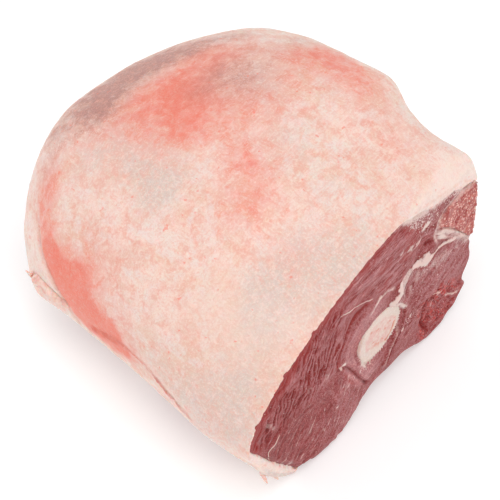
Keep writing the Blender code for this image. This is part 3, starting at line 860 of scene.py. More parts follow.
def make_fat_cover(material):
    """Skin of fat, with its thick rim at the cut and free edges rounded down to the meat."""
    rows = int(242 * DETAIL)
    columns = int(366 * DETAIL)
    band = 12
    points, normal, thickness, place, edge = cover_grid(rows, columns)
    shape = thickness.shape
    height, masks = skin_relief(points.reshape(-1, 3), place.reshape(-1, 2), edge.ravel())
    height = height.reshape(shape)
    fade = smooth(edge / 0.004)
    drop = rounded_edge(edge, np.maximum(thickness, 0.001) + 0.0005, 0.0022)
    front = place[:, :, 0]
    lip_size = np.maximum(through(LIP_AT_CUT, place[:, :, 1]), 0.0002)
    lip_size = lip_size * (0.75 + 0.5 * clouds(points.reshape(-1, 3), 0.007, 22).reshape(shape))
    lip_size = np.minimum(lip_size, thickness[0] * 0.9)
    lip = rounded_edge(front, lip_size, np.maximum(lip_size * 0.9, 0.0005))
    skin = points + normal * (height * (0.35 + 0.65 * fade) - drop - lip)[:, :, None]
    torn = skin_bites(place[:, :, 1])
    torn = torn + 0.0005 * (noise(points.reshape(-1, 3), 0.0009, 24).reshape(shape) - 0.3)
    torn = np.where(place[:, :, 1] > 98, np.maximum(torn, 0), 0)
    skin[:, :, 0] -= torn * smooth(1 - front / 0.006)
    pale_lip = smooth(1.25 - front / np.maximum(lip_size * 1.1, 0.0006)) * smooth(lip_size / 0.002)
    masks["sawn"] = pale_lip.ravel()
    skin[0, :, 0] -= FAT_BACK
    # The sawn band of fat at the cut, from the skin down to the meat
    rim = []
    rim_masks = []
    ragged = clouds(flat_points(points[0, :, 1], points[0, :, 2]), 0.0045, 23)
    inner_depth = thickness[0] * (0.90 + 0.26 * ragged) + 0.0003
    outer_depth = drop[0] + lip[0] - height[0] * (0.35 + 0.65 * fade[0])
    inner_depth = np.maximum(inner_depth, outer_depth + 0.0004)
    reach = np.minimum((inner_depth - outer_depth) / 0.004, 1)
    for k in range(1, band + 1):
        share = k / band
        depth = outer_depth + (inner_depth - outer_depth) * share
        level = points[0] - normal[0] * depth[:, None]
        bulge = math.sin(math.pi * min(share * 1.1, 1)) * 0.0005 * reach
        rough = (clouds(level, 0.0018, 29) - 0.5) * 0.0006 * reach
        tuck = 0.0003 * smooth((share - 0.86) / 0.14)
        level[:, 0] = CUT_X - FAT_BACK + bulge + rough - tuck - torn[0]
        rim.insert(0, level)
        faded = {name: values.reshape(shape)[0] * (1 - smooth(share * 3))
                 for name, values in masks.items()}
        streak = smooth((clouds(level * (1, 0.6, 0.6), 0.0030, 30) - 0.40) / 0.25)
        sawn = smooth(share * 2.2) * (0.65 + 0.35 * streak)
        faded["sawn"] = np.maximum(faded["sawn"], sawn)
        crumbs = smooth((noise(level, 0.0010, 31) - 0.62) / 0.1) * smooth((share - 0.55) / 0.4)
        faded["raw"] = np.maximum(faded["raw"], 0.7 * crumbs * reach)
        rim_masks.insert(0, faded)
    surface = np.concatenate([rim, skin])
    # A coarse inner face closes the cover inside the meat
    inner_rows = 24
    inner_columns = 40
    pick_rows = np.linspace(0, shape[0] - 1, inner_rows + 1).round().astype(int)
    pick_columns = np.linspace(0, columns, inner_columns + 1).round().astype(int)
    chosen = np.ix_(pick_rows, pick_columns)
    sunk = (np.maximum(thickness[chosen], 0.0012) + 0.0009)[:, :, None]
    inner = points[chosen] - normal[chosen] * sunk
    inner[0, :, 0] -= 0.0034
    inner[-1, :, 0] += 0.0008
    count = surface.shape[0] * surface.shape[1]
    vertices = np.concatenate([surface.reshape(-1, 3), inner.reshape(-1, 3)])
    numbers = np.arange(count).reshape(surface.shape[:2])
    inner_numbers = count + np.arange(inner[:, :, 0].size).reshape(inner.shape[:2])
    faces = grid_quads(numbers) + grid_quads(inner_numbers)
    faces += zip_rings(ring_of(numbers), ring_of(inner_numbers), vertices)
    bare = np.zeros(inner_numbers.size)
    fine_masks = {name: np.concatenate([*(faded[name] for faded in rim_masks), values, bare])
                  for name, values in masks.items()}
    make_piece("fat_skin", vertices, faces, material, fine_masks, "fat_cover")


# Lean meat

# Lines on the cut, in mm (y, z)
FAT_SEAM = ((6.3, 50), (9.9, 53), (12.9, 57.2), (17, 58.5), (21.5, 57.3), (27.3, 54.8),
            (34.8, 55.3), (45.4, 51.7), (51.6, 49), (56.5, 46.6))
FAT_SEAM_WIDTH = ((0, 0.0012), (0.12, 0.0019), (0.3, 0.0016), (0.42, 0.0019), (0.52, 0.0006),
                  (0.62, 0.0005), (0.8, 0.0011), (1, 0.0014))
SECOND_SINEW = ((-8.5, 57), (-6.8, 59.3), (-3.8, 60.9), (0, 60.9), (2.9, 60.2), (6.5, 57.5))
NEEDLE = ((-27.2, 73.9), (-20.2, 71), (-13.6, 68.1), (-6.9, 64.5))
UNDER_BONE = ((-28, 42), (-22.2, 38.7), (-17.6, 32.1), (-13.4, 23.9), (-9.2, 16.3),
              (-6.5, 12.6))
RING_GROOVE = ((-25.5, 42), (-26.3, 49), (-23.7, 53.5), (-21.1, 58.6), (-18.5, 62),
               (-13.9, 64.3), (-7.4, 63.9))
LOWER_WHITE = ((-65.2, 27), (-65.6, 34), (-63.5, 35.9), (-60.7, 37.5),
               (-57.2, 39.2), (-53.7, 40), (-48.8, 38.6), (-43, 39.2))
LOW_RIGHT_WHITE = ((-17, 29), (-16.7, 24.8), (-20.3, 20.6), (-25.3, 15.5), (-30.5, 13.8),
                   (-35, 12.2))
MID_WHITE = ((-34.5, 28), (-35.6, 24.1), (-37.6, 19.1), (-41.2, 17.5))
BONE_STRAND = ((10.6, 38.5), (10.1, 33), (7, 23.1), (4.4, 17.5), (1.6, 13.1))
BONE_DIVIDE = ((13.5, 42), (13.2, 33), (10.6, 24), (7.2, 16), (4.6, 11.5))
HIP_LEFT = ((49.4, 77.6), (46.6, 78.4), (39.2, 76.6), (33.9, 74.3), (32.1, 71.4), (31, 64.1),
            (33.1, 58.3))
HIP_LOW = ((32.7, 66.5), (38.1, 62.4), (44.9, 55.1), (52, 46.3), (56, 42))
# Torn white ends that the saw left at the top and the bottom of the thigh bone
BONE_TORN_ENDS = (((5.5, 49), (8.5, 46.4), (11.4, 43.6), (14, 39.6)),
                  ((-12, 34), (-11.4, 31), (-9.4, 26.4)),
                  ((-9.5, 31), (-7.6, 29), (-6, 27)))
TORN_LINE = ((31.5, 28), (28.5, 26.1), (29.3, 18), (31, 10.7), (34.1, 4.1))
TORN_WHITE_LINES = (((34.2, 26.8), (39, 24.6), (45.3, 21.1)), ((44.5, 16.3), (52.9, 10.3)))
WRINKLE_ZONE = ((-74, 44), (-70, 58), (-60, 66), (-46, 73), (-33, 78), (-24, 76), (-23, 62),
                (-28, 52), (-27, 44), (-36, 43), (-48, 42), (-58, 41.5), (-66, 38))
UPPER_ZONE = ((-30, 76), (-22, 88), (8, 94), (20, 84), (32, 74), (31, 60), (16, 60), (5, 58),
              (-6, 63), (-20, 68))
RIGHT_ZONE = ((9, 52), (16, 57), (30, 54), (45, 50), (57, 44), (58, 28), (34, 29), (12, 40))
HIP_VEIL = ((31, 66), (34, 59), (40, 56), (48, 51), (57, 45), (57, 42), (50, 50), (42, 59),
            (36, 64))
TORN_ZONE = ((26, 29), (33, 31), (46, 26), (57, 18), (53, 8), (44, 4), (34, 3), (28, 10))
MARBLED_ZONE = ((8, 92), (24, 87), (34, 84), (46, 80), (40, 77), (32, 73), (30, 66), (20, 74))
LOW_ZONE = ((-70, 26), (-64, 37), (-54, 40), (-42, 40), (-30, 38), (-22, 33), (-14, 20),
            (-10, 10), (-22, 0), (-46, 2), (-58, 10))
# Spots on the cut: y, z, radius in mm and strength
WHITE_SPOTS = ((-23, 40.2, 1.3, 1), (23, 78.2, 1.7, 1), (8.5, 76.2, 1, 0.55),
               (14.8, 73.1, 1.6, 0.6), (19.5, 71.2, 1.6, 0.6), (-33.5, 44.5, 1.6, 0.35),
               (-65.8, 49.5, 1.1, 0.4), (-63.9, 46.5, 1, 0.4), (-43.9, 48.9, 1.3, 0.35),
               (-27.9, 21.6, 0.9, 0.7), (-20.2, 31.7, 0.9, 0.4), (18.7, 29.5, 0.9, 0.7),
               (14, 26.2, 0.8, 0.7), (-11.6, 30.2, 1, 0.8), (-13, 27.6, 0.8, 0.6),
               (37.7, 22.8, 1.1, 0.6), (34.2, 21.2, 1.1, 0.6), (36, 18, 0.9, 0.5),
               (41, 47, 1.1, 0.4), (46.5, 45, 1.1, 0.4))
DARK_SPOTS = ((23, 69.4, 2.2, 0.6), (27.9, 63.3, 2, 0.6), (31.9, 27.7, 2.4, 1),
              (29.3, 25.4, 1.8, 0.9), (41.5, 22, 1.8, 1), (14.5, 49, 2.2, 0.55),
              (18, 47.3, 1.6, 0.5), (29.5, 15, 1.8, 0.8), (27.5, 73, 2.4, 0.4),
              (34.5, 24, 1.6, 0.9), (31, 20.5, 1.8, 0.8), (37.5, 27, 1.4, 0.7),
              (45.5, 24, 1.3, 0.7), (35.5, 13, 1.5, 0.6), (40, 16, 1.3, 0.6))
# Notches and bulges of the bare edge: y, z, push along y and z, radius, all in mm
EDGE_NOTCHES = ((57.6, 41.8, -3.4, 0.4, 1.7), (57, 29, 1.8, 0, 5),
                (57.2, 20.8, -2.6, 0.8, 1.7), (54, 12.5, 3, 0.4, 3.2),
                (47, 2, -0.4, 1.8, 2.6), (8, 9, 0, -1.4, 8),
                (50, 8, 1.6, 0.2, 6), (-20, 1, 0, 1.6, 1.8),
                (-46, 0.5, 3, 2.4, 4))
# Face of the sawn hip bone on the cut, in mm (y, z)
HIP_FACE = ((48.5, 77), (46.6, 77.8), (39.2, 76), (34.4, 73.9), (32.7, 71.2), (32, 67.5),
            (38.1, 62.9), (44.9, 55.6), (52, 47), (55.5, 42.6), (57.4, 48), (57.3, 60),
            (56.9, 68), (55.6, 72.4), (52, 75.4))
# Broad forms of a cut face: height, middle y and z, half widths, all in metres
CUT_FORMS = (
    (0.0014, -0.030, 0.020, 0.022, 0.013), (0.0012, -0.045, 0.056, 0.016, 0.012),
    (-0.0016, -0.015, 0.044, 0.006, 0.014), (0.0016, 0.010, 0.040, 0.006, 0.017),
    (-0.0026, 0.038, 0.014, 0.011, 0.008), (0.0012, 0.033, 0.035, 0.012, 0.010),
    (0.0010, 0.002, 0.080, 0.018, 0.009), (-0.0018, 0.024, 0.064, 0.005, 0.005),
)
# How deep the meat lies under the sawn ends of the thigh bone and the hip bone
BONE_SINK = 0.0026
HIP_SINK = 0.0030


def creases(y, z, direction, wide, long, seed, sharp):
    """Lines between long bundles, for their grooves and painted shade: 1 on a line and 0 on a
    bundle.
    """
    field = streaks(y, z, direction, wide, long, seed, 2)
    return 1 - smooth(np.abs(field - 0.5) / sharp)


def notched(points, distance):
    """Points of the bare edge pushed into its notches, fading away from the cut."""
    y = points[:, 1].copy()
    z = points[:, 2].copy()
    fade = smooth(1 - distance / 0.014)
    for at_y, at_z, push_y, push_z, radius in EDGE_NOTCHES:
        away = np.hypot(points[:, 1] - at_y * MM, points[:, 2] - at_z * MM)
        weight = bell(away, radius * MM) * fade
        y += push_y * MM * weight
        z += push_z * MM * weight
    bare = smooth((points[:, 1] + 0.040) / 0.01) * smooth((0.045 - points[:, 2]) / 0.01) * fade
    solid = flat_points(points[:, 1], points[:, 2])
    y -= bare * clouds(solid, 0.0045, 44) * 0.0012 * np.sign(points[:, 1] - 0.005)
    z += bare * smooth((0.012 - points[:, 2]) / 0.01) * clouds(solid, 0.0050, 45) * 0.0014
    return np.column_stack([points[:, 0], y, np.maximum(z, FLOOR_GAP)])


def streaks(y, z, direction, wide, long, seed, octaves=2):
    """Noise drawn out along a direction in the cut, in degrees from +Y."""
    turn = math.radians(direction)
    run = y * math.cos(turn) + z * math.sin(turn)
    cross = -y * math.sin(turn) + z * math.cos(turn)
    return clouds(np.column_stack([run / long, cross / wide, np.zeros_like(y)]), 1.0, seed, octaves)


def bone_place(share):
    return [float(through([(knot[0], knot[k]) for knot in FEMUR_RUN], share)) for k in (1, 2, 3)]


def bone_reach(turn, radius):
    return radius * (1 + 0.06 * np.cos(turn + 0.2) + 0.025 * np.cos(3 * turn))


def round_bone(y, z, share):
    """Angle round the thigh bone and distance from it."""
    centre_y, centre_z, radius = bone_place(share)
    turn = np.arctan2(z - centre_z, y - centre_y)
    return turn, np.hypot(y - centre_y, z - centre_z) - bone_reach(turn, radius)


class Cut:
    """Relief and colour masks of the visible cut, built up zone by zone."""

    def __init__(self, y, z):
        self.y = y
        self.z = z
        self.places = np.column_stack([y, z])
        self.solid = flat_points(y, z)
        self.breakup = clouds(self.solid, 0.0014, 51)
        self.fine = clouds(self.solid, 0.0013, 68)
        self.sway = (clouds(self.solid, 0.012, 55) - 0.5) * 0.010
        self.turn, self.from_bone = round_bone(y, z, 0)
        drift = clouds(self.solid, 0.009, 52) - 0.5
        self.height = drift * 0.0010 + (clouds(self.solid, 0.0028, 53) - 0.5) * 0.0005
        self.masks = {"tone": 0.43 + drift * 0.26}
        for name in ("white", "blood", "bright", "wrinkle", "upper", "torn", "marble"):
            self.masks[name] = np.zeros_like(y)

    def lift(self, name, amount):
        self.masks[name] = np.maximum(self.masks[name], amount)

    def within(self, outline, edge):
        return soft_inside(self.places, mm(outline), edge)

    def away_from(self, line):
        return distance_to(self.places, bend(mm(line)))

    def seam(self, line, depth, wide, paleness=0.0, pale_wide=0.0005, groove_shade=0.0, gaps=0.0):
        """Groove or ridge along a line, with its pale skin and painted shade over it."""
        away, share = self.away_from(line)
        ends = smooth(np.minimum(share, 1 - share) * 9)
        self.height -= depth * bell(away, wide) * ends
        ragged = pale_wide * (0.45 + 1.1 * self.breakup)
        broken = 1 - gaps * smooth((noise(self.solid, 0.0035, 54) - 0.4) / 0.2)
        self.lift("white", paleness * bell(away, ragged) * (0.5 + 0.5 * ends) * broken)
        # Painted shade: darker tone along the groove
        self.masks["tone"] -= groove_shade * bell(away, wide * 1.2) * ends

    def wrinkled_muscle(self):
        """Wavy bundles along the near upper side that run down and to the near side."""
        y, z, solid = self.y, self.z, self.solid
        zone = self.within(WRINKLE_ZONE, 0.007)
        self.masks["wrinkle"] = zone
        slant = math.radians(69)
        across = -y * math.sin(slant) + z * math.cos(slant)
        wander = 4.2 * (clouds(solid, 0.016, 55) - 0.5) + 0.9 * (clouds(solid, 0.0045, 57) - 0.5)
        wave = np.cos(2 * math.pi * (across / 0.0025 + wander))
        present = smooth((streaks(y, z, 69, 0.0040, 0.010, 56) - 0.34) / 0.18)
        lines = smooth((wave - 0.10) / 0.75) * present
        cross = creases(y, z + self.sway, 20, 0.0050, 0.010, 78, 0.05)
        deep = creases(y + self.sway, z, 69, 0.0052, 0.024, 58, 0.055)
        self.height += zone * (0.0004 - 0.0009 * lines - 0.0008 * deep - 0.0003 * cross)
        # Painted shade and highlight: the grooves between bundles are painted darker and a deeper
        # red, and the zone is lifted a little as painted highlight on the crests
        self.masks["tone"] += zone * (0.07 - 0.42 * lines - 0.30 * deep - 0.10 * cross)
        red_side = smooth((z + 0.35 * y - 0.030) / 0.012)
        self.lift("bright", zone * (0.75 * lines + 0.80 * deep) * (0.45 + 0.55 * red_side))

    def upper_muscle(self):
        """Fibres of the upper muscle that run up towards the far side."""
        y, z, solid = self.y, self.z, self.solid
        zone = self.within(UPPER_ZONE, 0.008)
        self.masks["upper"] = zone
        fibre = streaks(y, z + self.sway * 0.4, 7, 0.0014, 0.012, 59)
        lines = creases(y, z + self.sway * 0.4, 8, 0.0046, 0.022, 60, 0.040)
        self.height += zone * ((fibre - 0.5) * 0.0006 - 0.0003 * lines)
        # Painted shade: the grooves between the fibre bundles are painted darker and redder; the
        # red patches are the meat's own
        self.masks["tone"] += zone * ((fibre - 0.5) * 0.65 - 0.16 * lines + 0.06)
        patchy = smooth((clouds(solid, 0.0065, 98) - 0.52) / 0.10)
        self.lift("bright", zone * (0.35 * lines + 0.60 * patchy))
        patch = bell(np.hypot((y - 0.0145) / 1.9, z - 0.0735), 0.0038)
        self.lift("white", patch * smooth((fibre - 0.40) / 0.25) * 0.55)
        self.lift("marble", zone * 0.26)

    def marbled_corner(self):
        """Corner where fat runs into the meat."""
        y, z, solid = self.y, self.z, self.solid
        zone = self.within(MARBLED_ZONE, 0.006)
        marble = clouds(solid, 0.0020, 62, 2)
        near_fat = smooth((z - 0.074 - np.abs(y - 0.020) * 0.1) / 0.014)
        self.lift("marble", zone * (0.52 + 0.60 * near_fat) + (marble - 0.5) * 0.8 * zone)
        self.masks["tone"] += zone * (0.46 - marble) * 0.5
        self.lift("blood", zone * 0.5 * smooth((0.40 - marble) / 0.10))

    def muscle_under_seam(self):
        """Muscle under the fat seam."""
        y, z, solid = self.y, self.z, self.solid
        zone = self.within(RIGHT_ZONE, 0.008)
        fibre = streaks(y, z, 20, 0.0014, 0.008, 63)
        self.masks["tone"] += zone * ((fibre - 0.5) * 0.45 + 0.06)
        self.height += zone * (fibre - 0.5) * 0.0006
        spots = smooth((noise(solid, 0.0016, 64) - 0.74) / 0.08)
        self.lift("blood", zone * 0.7 * spots * smooth((0.040 - y) / 0.012))
        self.lift("marble", zone * 0.30)
        veil = zone * smooth((z - 0.038) / 0.010) * smooth((clouds(solid, 0.0035, 66) - 0.45) / 0.2)
        self.lift("white", veil * 0.42)

    def torn_corner(self):
        """Torn, bloody meat at the lower far corner."""
        solid = self.solid
        stray = np.column_stack([clouds(solid, 0.006, 123), clouds(solid, 0.006, 124)]) - 0.5
        zone = soft_inside(self.places + stray * 0.012, mm(TORN_ZONE), 0.007)
        torn = clouds(solid, 0.0036, 67)
        patches = smooth((clouds(solid, 0.0050, 125) - 0.40) / 0.14)
        self.masks["torn"] = zone * (0.35 + 0.9 * patches)
        self.height += zone * ((torn - 0.5) * 0.0026 + (self.fine - 0.5) * 0.0012)
        self.masks["tone"] += zone * ((torn - 0.5) * 0.8 + 0.02)
        self.lift("bright", zone * 0.30)
        self.lift("blood", zone * 0.80 * smooth((0.36 - torn) / 0.08))

    def speckled_muscle(self):
        """Speckled muscle right of the bone."""
        y, z = self.y, self.z
        zone = bell(np.hypot(y - 0.0190, (z - 0.027) * 0.8), 0.0095)
        self.masks["tone"] += zone * ((self.fine - 0.5) * 0.9 + 0.02)
        self.height += zone * (self.fine - 0.5) * 0.0008
        self.lift("blood", zone * 0.8 * smooth((0.44 - self.fine) / 0.08))
        self.lift("marble", zone * 0.46)

    def hip_veil(self):
        """Thin fat under the hip bone, drawn out in strands towards the seam."""
        y, z = self.y, self.z
        zone = self.within(HIP_VEIL, 0.005)
        strands = streaks(y, z, -38, 0.0013, 0.009, 99)
        self.lift("white", zone * (0.30 + 0.75 * smooth((strands - 0.42) / 0.16)))

    def low_muscle(self):
        """Big low muscle, smooth, with upright lines at its lower edge."""
        y, z = self.y, self.z
        zone = self.within(LOW_ZONE, 0.005)
        upright = streaks(y, z, 64, 0.0012, 0.009, 69)
        low = zone * smooth((0.030 - z) / 0.014) * smooth((-0.030 - y) / 0.010)
        edge_wise = streaks(y, z, 40, 0.0013, 0.008, 70)
        right_low = zone * smooth((y + 0.036) / 0.012)
        centre = np.hypot(y + 0.046, z - 0.024)
        swirl = streaks(centre, np.arctan2(z - 0.024, y + 0.046) * 0.012, 90, 0.0015, 0.010, 86)
        self.masks["tone"] += zone * (-0.09 + (swirl - 0.5) * 0.45)
        self.masks["tone"] += low * ((upright - 0.5) * 0.35 - 0.03)
        self.masks["tone"] += right_low * ((edge_wise - 0.5) * 0.40 + 0.16)
        self.height += zone * (0.0006 + (swirl - 0.5) * 0.0004)
        self.height += low * (upright - 0.5) * 0.0003
        self.masks["tone"] -= 0.18 * bell(np.hypot(y + 0.063, (z - 0.039) * 0.8), 0.014)
        threads = streaks(y, z, 55, 0.0006, 0.0035, 87, 1)
        self.lift("white", zone * 0.45 * smooth((threads - 0.80) / 0.10))

    def bone_ring(self):
        """Pink muscle that rings the bone, and the pad under it."""
        y = self.y
        left = smooth((0.004 - (y - bone_place(0)[0])) / 0.016 + 0.35)
        ring = smooth((0.0115 - self.from_bone) / 0.003) * left
        around = streaks(self.from_bone, self.turn * 0.018, 90, 0.0013, 0.024, 71)
        self.masks["tone"] += ring * (0.30 + (around - 0.5) * 0.40)
        self.height += ring * 0.0009
        arc = bell(self.from_bone - 0.0085, 0.0009) * bell(self.turn + 2.62, 0.40)
        self.lift("bright", arc * 0.8)

    def seams(self):
        """Seams and membranes between the muscles."""
        solid = self.solid
        # The crease under the bone and the ring groove get painted shade
        self.seam(UNDER_BONE, 0.0011, 0.0006, groove_shade=0.45)
        self.seam(RING_GROOVE, 0.0009, 0.0009, groove_shade=0.22)
        away = self.away_from(RING_GROOVE)[0]
        broken = smooth((self.breakup - 0.30) / 0.3)
        self.lift("bright", 0.65 * bell(away - 0.0006, 0.0009) * broken)
        self.seam(SECOND_SINEW, -0.0002, 0.0009, 0.85, 0.0009, gaps=0.3)
        self.seam(BONE_STRAND, -0.0008, 0.0012, 0.45, 0.0008)
        # Painted shade along the bone divide
        self.seam(BONE_DIVIDE, 0.0010, 0.0008, 0.0, 0.0004, 0.35)
        self.seam(HIP_LEFT, 0.0001, 0.0008, 0.65, 0.0008)
        self.seam(HIP_LOW, -0.0004, 0.0014, 0.85, 0.0030, gaps=0.35)
        for line in BONE_TORN_ENDS:
            self.seam(line, -0.0003, 0.0009, 1.0, 0.0009)
            self.lift("marble", bell(self.away_from(line)[0], 0.0020))
        # Painted shade along the torn line
        self.seam(TORN_LINE, 0.0012, 0.0008, 0.0, 0.0004, 0.3)
        away = self.away_from(TORN_LINE)[0]
        self.lift("blood", 0.85 * bell(away, 0.0009 * (0.4 + self.breakup)))
        for line in TORN_WHITE_LINES:
            self.seam(line, 0.0, 0.0006, 0.8, 0.0007, gaps=0.5)
        away, share = self.away_from(FAT_SEAM)
        wander = noise(solid, 0.0028, 88)
        wide = np.interp(share, *zip(*FAT_SEAM_WIDTH)) * (0.45 + 1.1 * wander)
        ragged = wide * (0.10 + 1.7 * self.breakup)
        pinkish = 0.62 + 0.38 * smooth((noise(solid, 0.0030, 89) - 0.35) / 0.2)
        self.lift("white", smooth(1.8 - away / ragged) * pinkish)
        self.lift("marble", 0.75 * bell(away, wide * 1.8))
        self.height += 0.0005 * bell(away, wide)
        self.masks["tone"] -= 0.12 * bell(away - wide * 1.5, 0.0010)

    def spots(self):
        """Spots of fat and hollows."""
        y, z = self.y, self.z
        for at_y, at_z, size, strength in WHITE_SPOTS:
            away = np.hypot(y - at_y * MM, z - at_z * MM)
            ragged = size * MM * (0.25 + 1.3 * self.breakup)
            self.lift("white", strength * smooth(1.8 - away / ragged))
        for at_y, at_z, size, strength in DARK_SPOTS:
            away = np.hypot(y - at_y * MM, z - at_z * MM)
            self.height -= 0.0009 * bell(away, size * MM)
            ragged = size * MM * (0.3 + 1.2 * self.breakup)
            self.lift("blood", strength * smooth(1.5 - away / ragged))

    def bone_beds(self):
        """Meat sunk under both bones, whose sawn ends stand in it."""
        y, z = self.y, self.z
        sunk = smooth(-self.from_bone / 0.0012 - 0.4)
        self.height -= BONE_SINK * sunk
        self.masks["tone"] -= 0.10 * bell(self.from_bone - 0.0003, 0.0008)
        level = smooth(1.2 - self.from_bone / 0.0035) * smooth(np.cos(self.turn + 0.9) * 1.6 + 0.3)
        self.height = self.height * (1 - level) - cut_forms(y, z) * level
        self.height -= BONE_SINK * level * sunk
        hip = self.within(HIP_FACE, 0.0024)
        self.height -= HIP_SINK * smooth(hip * 2 - 1)


def near_cut_face(y, z):
    """Relief and colour masks of the visible cut."""
    cut = Cut(y, z)
    for zone in (cut.wrinkled_muscle, cut.upper_muscle, cut.marbled_corner,
                 cut.muscle_under_seam, cut.torn_corner, cut.speckled_muscle, cut.hip_veil,
                 cut.low_muscle, cut.bone_ring, cut.seams, cut.spots, cut.bone_beds):
        zone()
    return cut.height, {name: np.clip(values, 0, 1) for name, values in cut.masks.items()}


def clear_of(skin, hidden, depth):
    """Hidden points that really lie their depth under the skin, without folds."""
    gaps = np.hypot(hidden[:, None, 1] - skin[None, :, 1], hidden[:, None, 2] - skin[None, :, 2])
    return gaps.min(axis=1) > depth * 0.965 - 0.00005


def cut_forms(y, z):
    """Broad relief of a cut face, as in the solids."""
    height = np.zeros_like(y)
    for top, centre_y, centre_z, wide, tall in CUT_FORMS:
        height = height + top * bell(y - centre_y, wide) * bell(z - centre_z, tall)
    return height


def lean_outline(along, count):
    """Closed outline of the meat at a place along the leg, and the fat thickness over it."""
    first, last = cover_edges(along)
    points, normal, angle, walked = even_run(along, first, last, 500)
    fat = fat_thickness(along, angle, walked)
    within = float(smooth((along - 0.0012) / 0.003))
    depth = np.maximum(fat * (0.92 + 0.08 * within) - 0.0002, 0.0003 + 0.0011 * within)
    depth = depth + 0.0010 * within
    flat_depth = np.where(station(along)[2] > 0, depth * tilt(along)[1], depth)
    hidden = points - normal * depth[:, None]
    keep = clear_of(points[::2], hidden, flat_depth * 0.98)
    hidden = hidden[keep]
    fat = fat[keep]
    low = even_run(along, last + math.radians(2.0), math.radians(270) - 1e-6, 300)[0]
    high = even_run(along, math.radians(-90) + 1e-6, first - math.radians(2.0), 300)[0]
    share = np.linspace(0, 1, 200)[1:-1, None]
    floor = low[-1] * (1 - share) + high[0] * share
    floor[:, 2] = np.maximum(floor[:, 2], arch(station(along)[0], floor[:, 1]))
    bare = np.concatenate([low, floor, high])
    bare[:, 0] += 0.0010 * tilt(along)[0]
    whole = np.concatenate([hidden, bare, hidden[:1]])
    over = np.concatenate([fat, np.zeros(len(bare)), fat[:1]])
    length = walk_along(whole)
    wanted = np.linspace(0, length[-1], count, endpoint=False)
    return read_at(wanted, length, whole), whole, length, over


def split_outline(whole, length, corners, counts):
    """Four sides between the corners (y, z), each with its count of steps."""
    places = [np.argmin(np.hypot(whole[:-1, 1] - y * MM, whole[:-1, 2] - z * MM))
              for y, z in corners]
    walks = [length[place] for place in places]
    sides = []
    for k in range(4):
        start = walks[k]
        end = walks[(k + 1) % 4]
        if end <= start:
            end += length[-1]
        wanted = np.linspace(start, end, counts[k % 2] + 1) % length[-1]
        sides.append(read_at(wanted, length, whole))
    return sides


def fill_patch(sides):
    """Grid between four sides that meet at their ends."""
    bottom, right, top, left = sides
    top = top[::-1]
    left = left[::-1]
    u = np.linspace(0, 1, len(bottom))[None, :, None]
    v = np.linspace(0, 1, len(left))[:, None, None]
    ruled = bottom[None] * (1 - v) + top[None] * v + left[:, None] * (1 - u) + right[:, None] * u
    corners = (bottom[0] * (1 - u) * (1 - v) + bottom[-1] * u * (1 - v)
               + top[0] * (1 - u) * v + top[-1] * u * v)
    return ruled - corners


CUT_CORNERS = ((-47, 2.5), (50, 3.0), (48.5, 78.0), (-75.5, 44))
HIP_DEPTH = 0.032
HIP_LOW_Z = 0.0425
HIP_HIGH_Z = 0.0780


def hip_reach(z):
    """How far back the hip bone shows on the far side at a height."""
    share = np.clip((z - HIP_LOW_Z) / (HIP_HIGH_Z - HIP_LOW_Z), 0, 1)
    return HIP_DEPTH * (0.30 + 0.70 * np.sin(math.pi * share) ** 0.7)


def face_points(patch, whole, over):
    """Points of the near cut with their relief, and their colour masks."""
    y = patch[:, :, 1].ravel()
    z = patch[:, :, 2].ravel()
    solid = flat_points(y, z)
    height, masks = near_cut_face(y, z)
    rim_line = whole[::8, 1:]
    from_rim, share = distance_to(np.column_stack([y, z]), rim_line)
    fat = np.interp(share, np.linspace(0, 1, len(rim_line)), over[::8])
    under_fat = 0.13 * fat + 0.0001
    round_off = rounded_edge(from_rim, 0.0009, 0.0012)
    tuck = 0.0004 * smooth(1 - (from_rim - under_fat) / 0.0012) * smooth(fat / 0.0012)
    fade = smooth((from_rim - under_fat) / 0.0028)
    bulge = 0.0018 * bell(y + 0.031, 0.020) * bell(z - 0.004, 0.011)
    wander = 0.0024 + 0.0075 * clouds(solid, 0.005, 71)
    red = smooth(1.3 - from_rim / wander) * smooth((0.004 - y) / 0.014)
    red *= smooth((z - 0.034) / 0.010)
    red *= 0.30 + 1.1 * streaks(y, z, 69, 0.0013, 0.004, 126)
    masks["bright"] = np.maximum(masks["bright"], red * 0.95)
    near_fat = smooth(1.2 - (from_rim - under_fat) / 0.0045) * smooth((fat - 0.003) / 0.004)
    masks["marble"] = np.maximum(masks["marble"], 0.95 * near_fat * smooth((z - 0.05) / 0.01))
    veil = smooth(1.35 - from_rim / (0.0012 + 0.0046 * clouds(solid, 0.0035, 121)))
    veil *= smooth((y + 0.002) / 0.014)
    veil *= smooth((z - 0.070) / 0.006)
    masks["white"] = np.maximum(masks["white"], veil * (0.62 + 0.5 * clouds(solid, 0.0012, 122)))
    low_rim = smooth(1 - from_rim / 0.0022) * smooth((0.030 - z) / 0.012)
    masks["tone"] = masks["tone"] + 0.10 * low_rim * (1 - smooth(fat / 0.001))
    points = notched(patch.reshape(-1, 3), np.zeros(len(y)) + 0.0001 + from_rim * 0.6)
    points[:, 0] = CUT_X - MEAT_BACK + (height + cut_forms(y, z)) * fade + bulge
    points[:, 0] -= np.where(fat > 0.0002, tuck, round_off)
    return points, masks


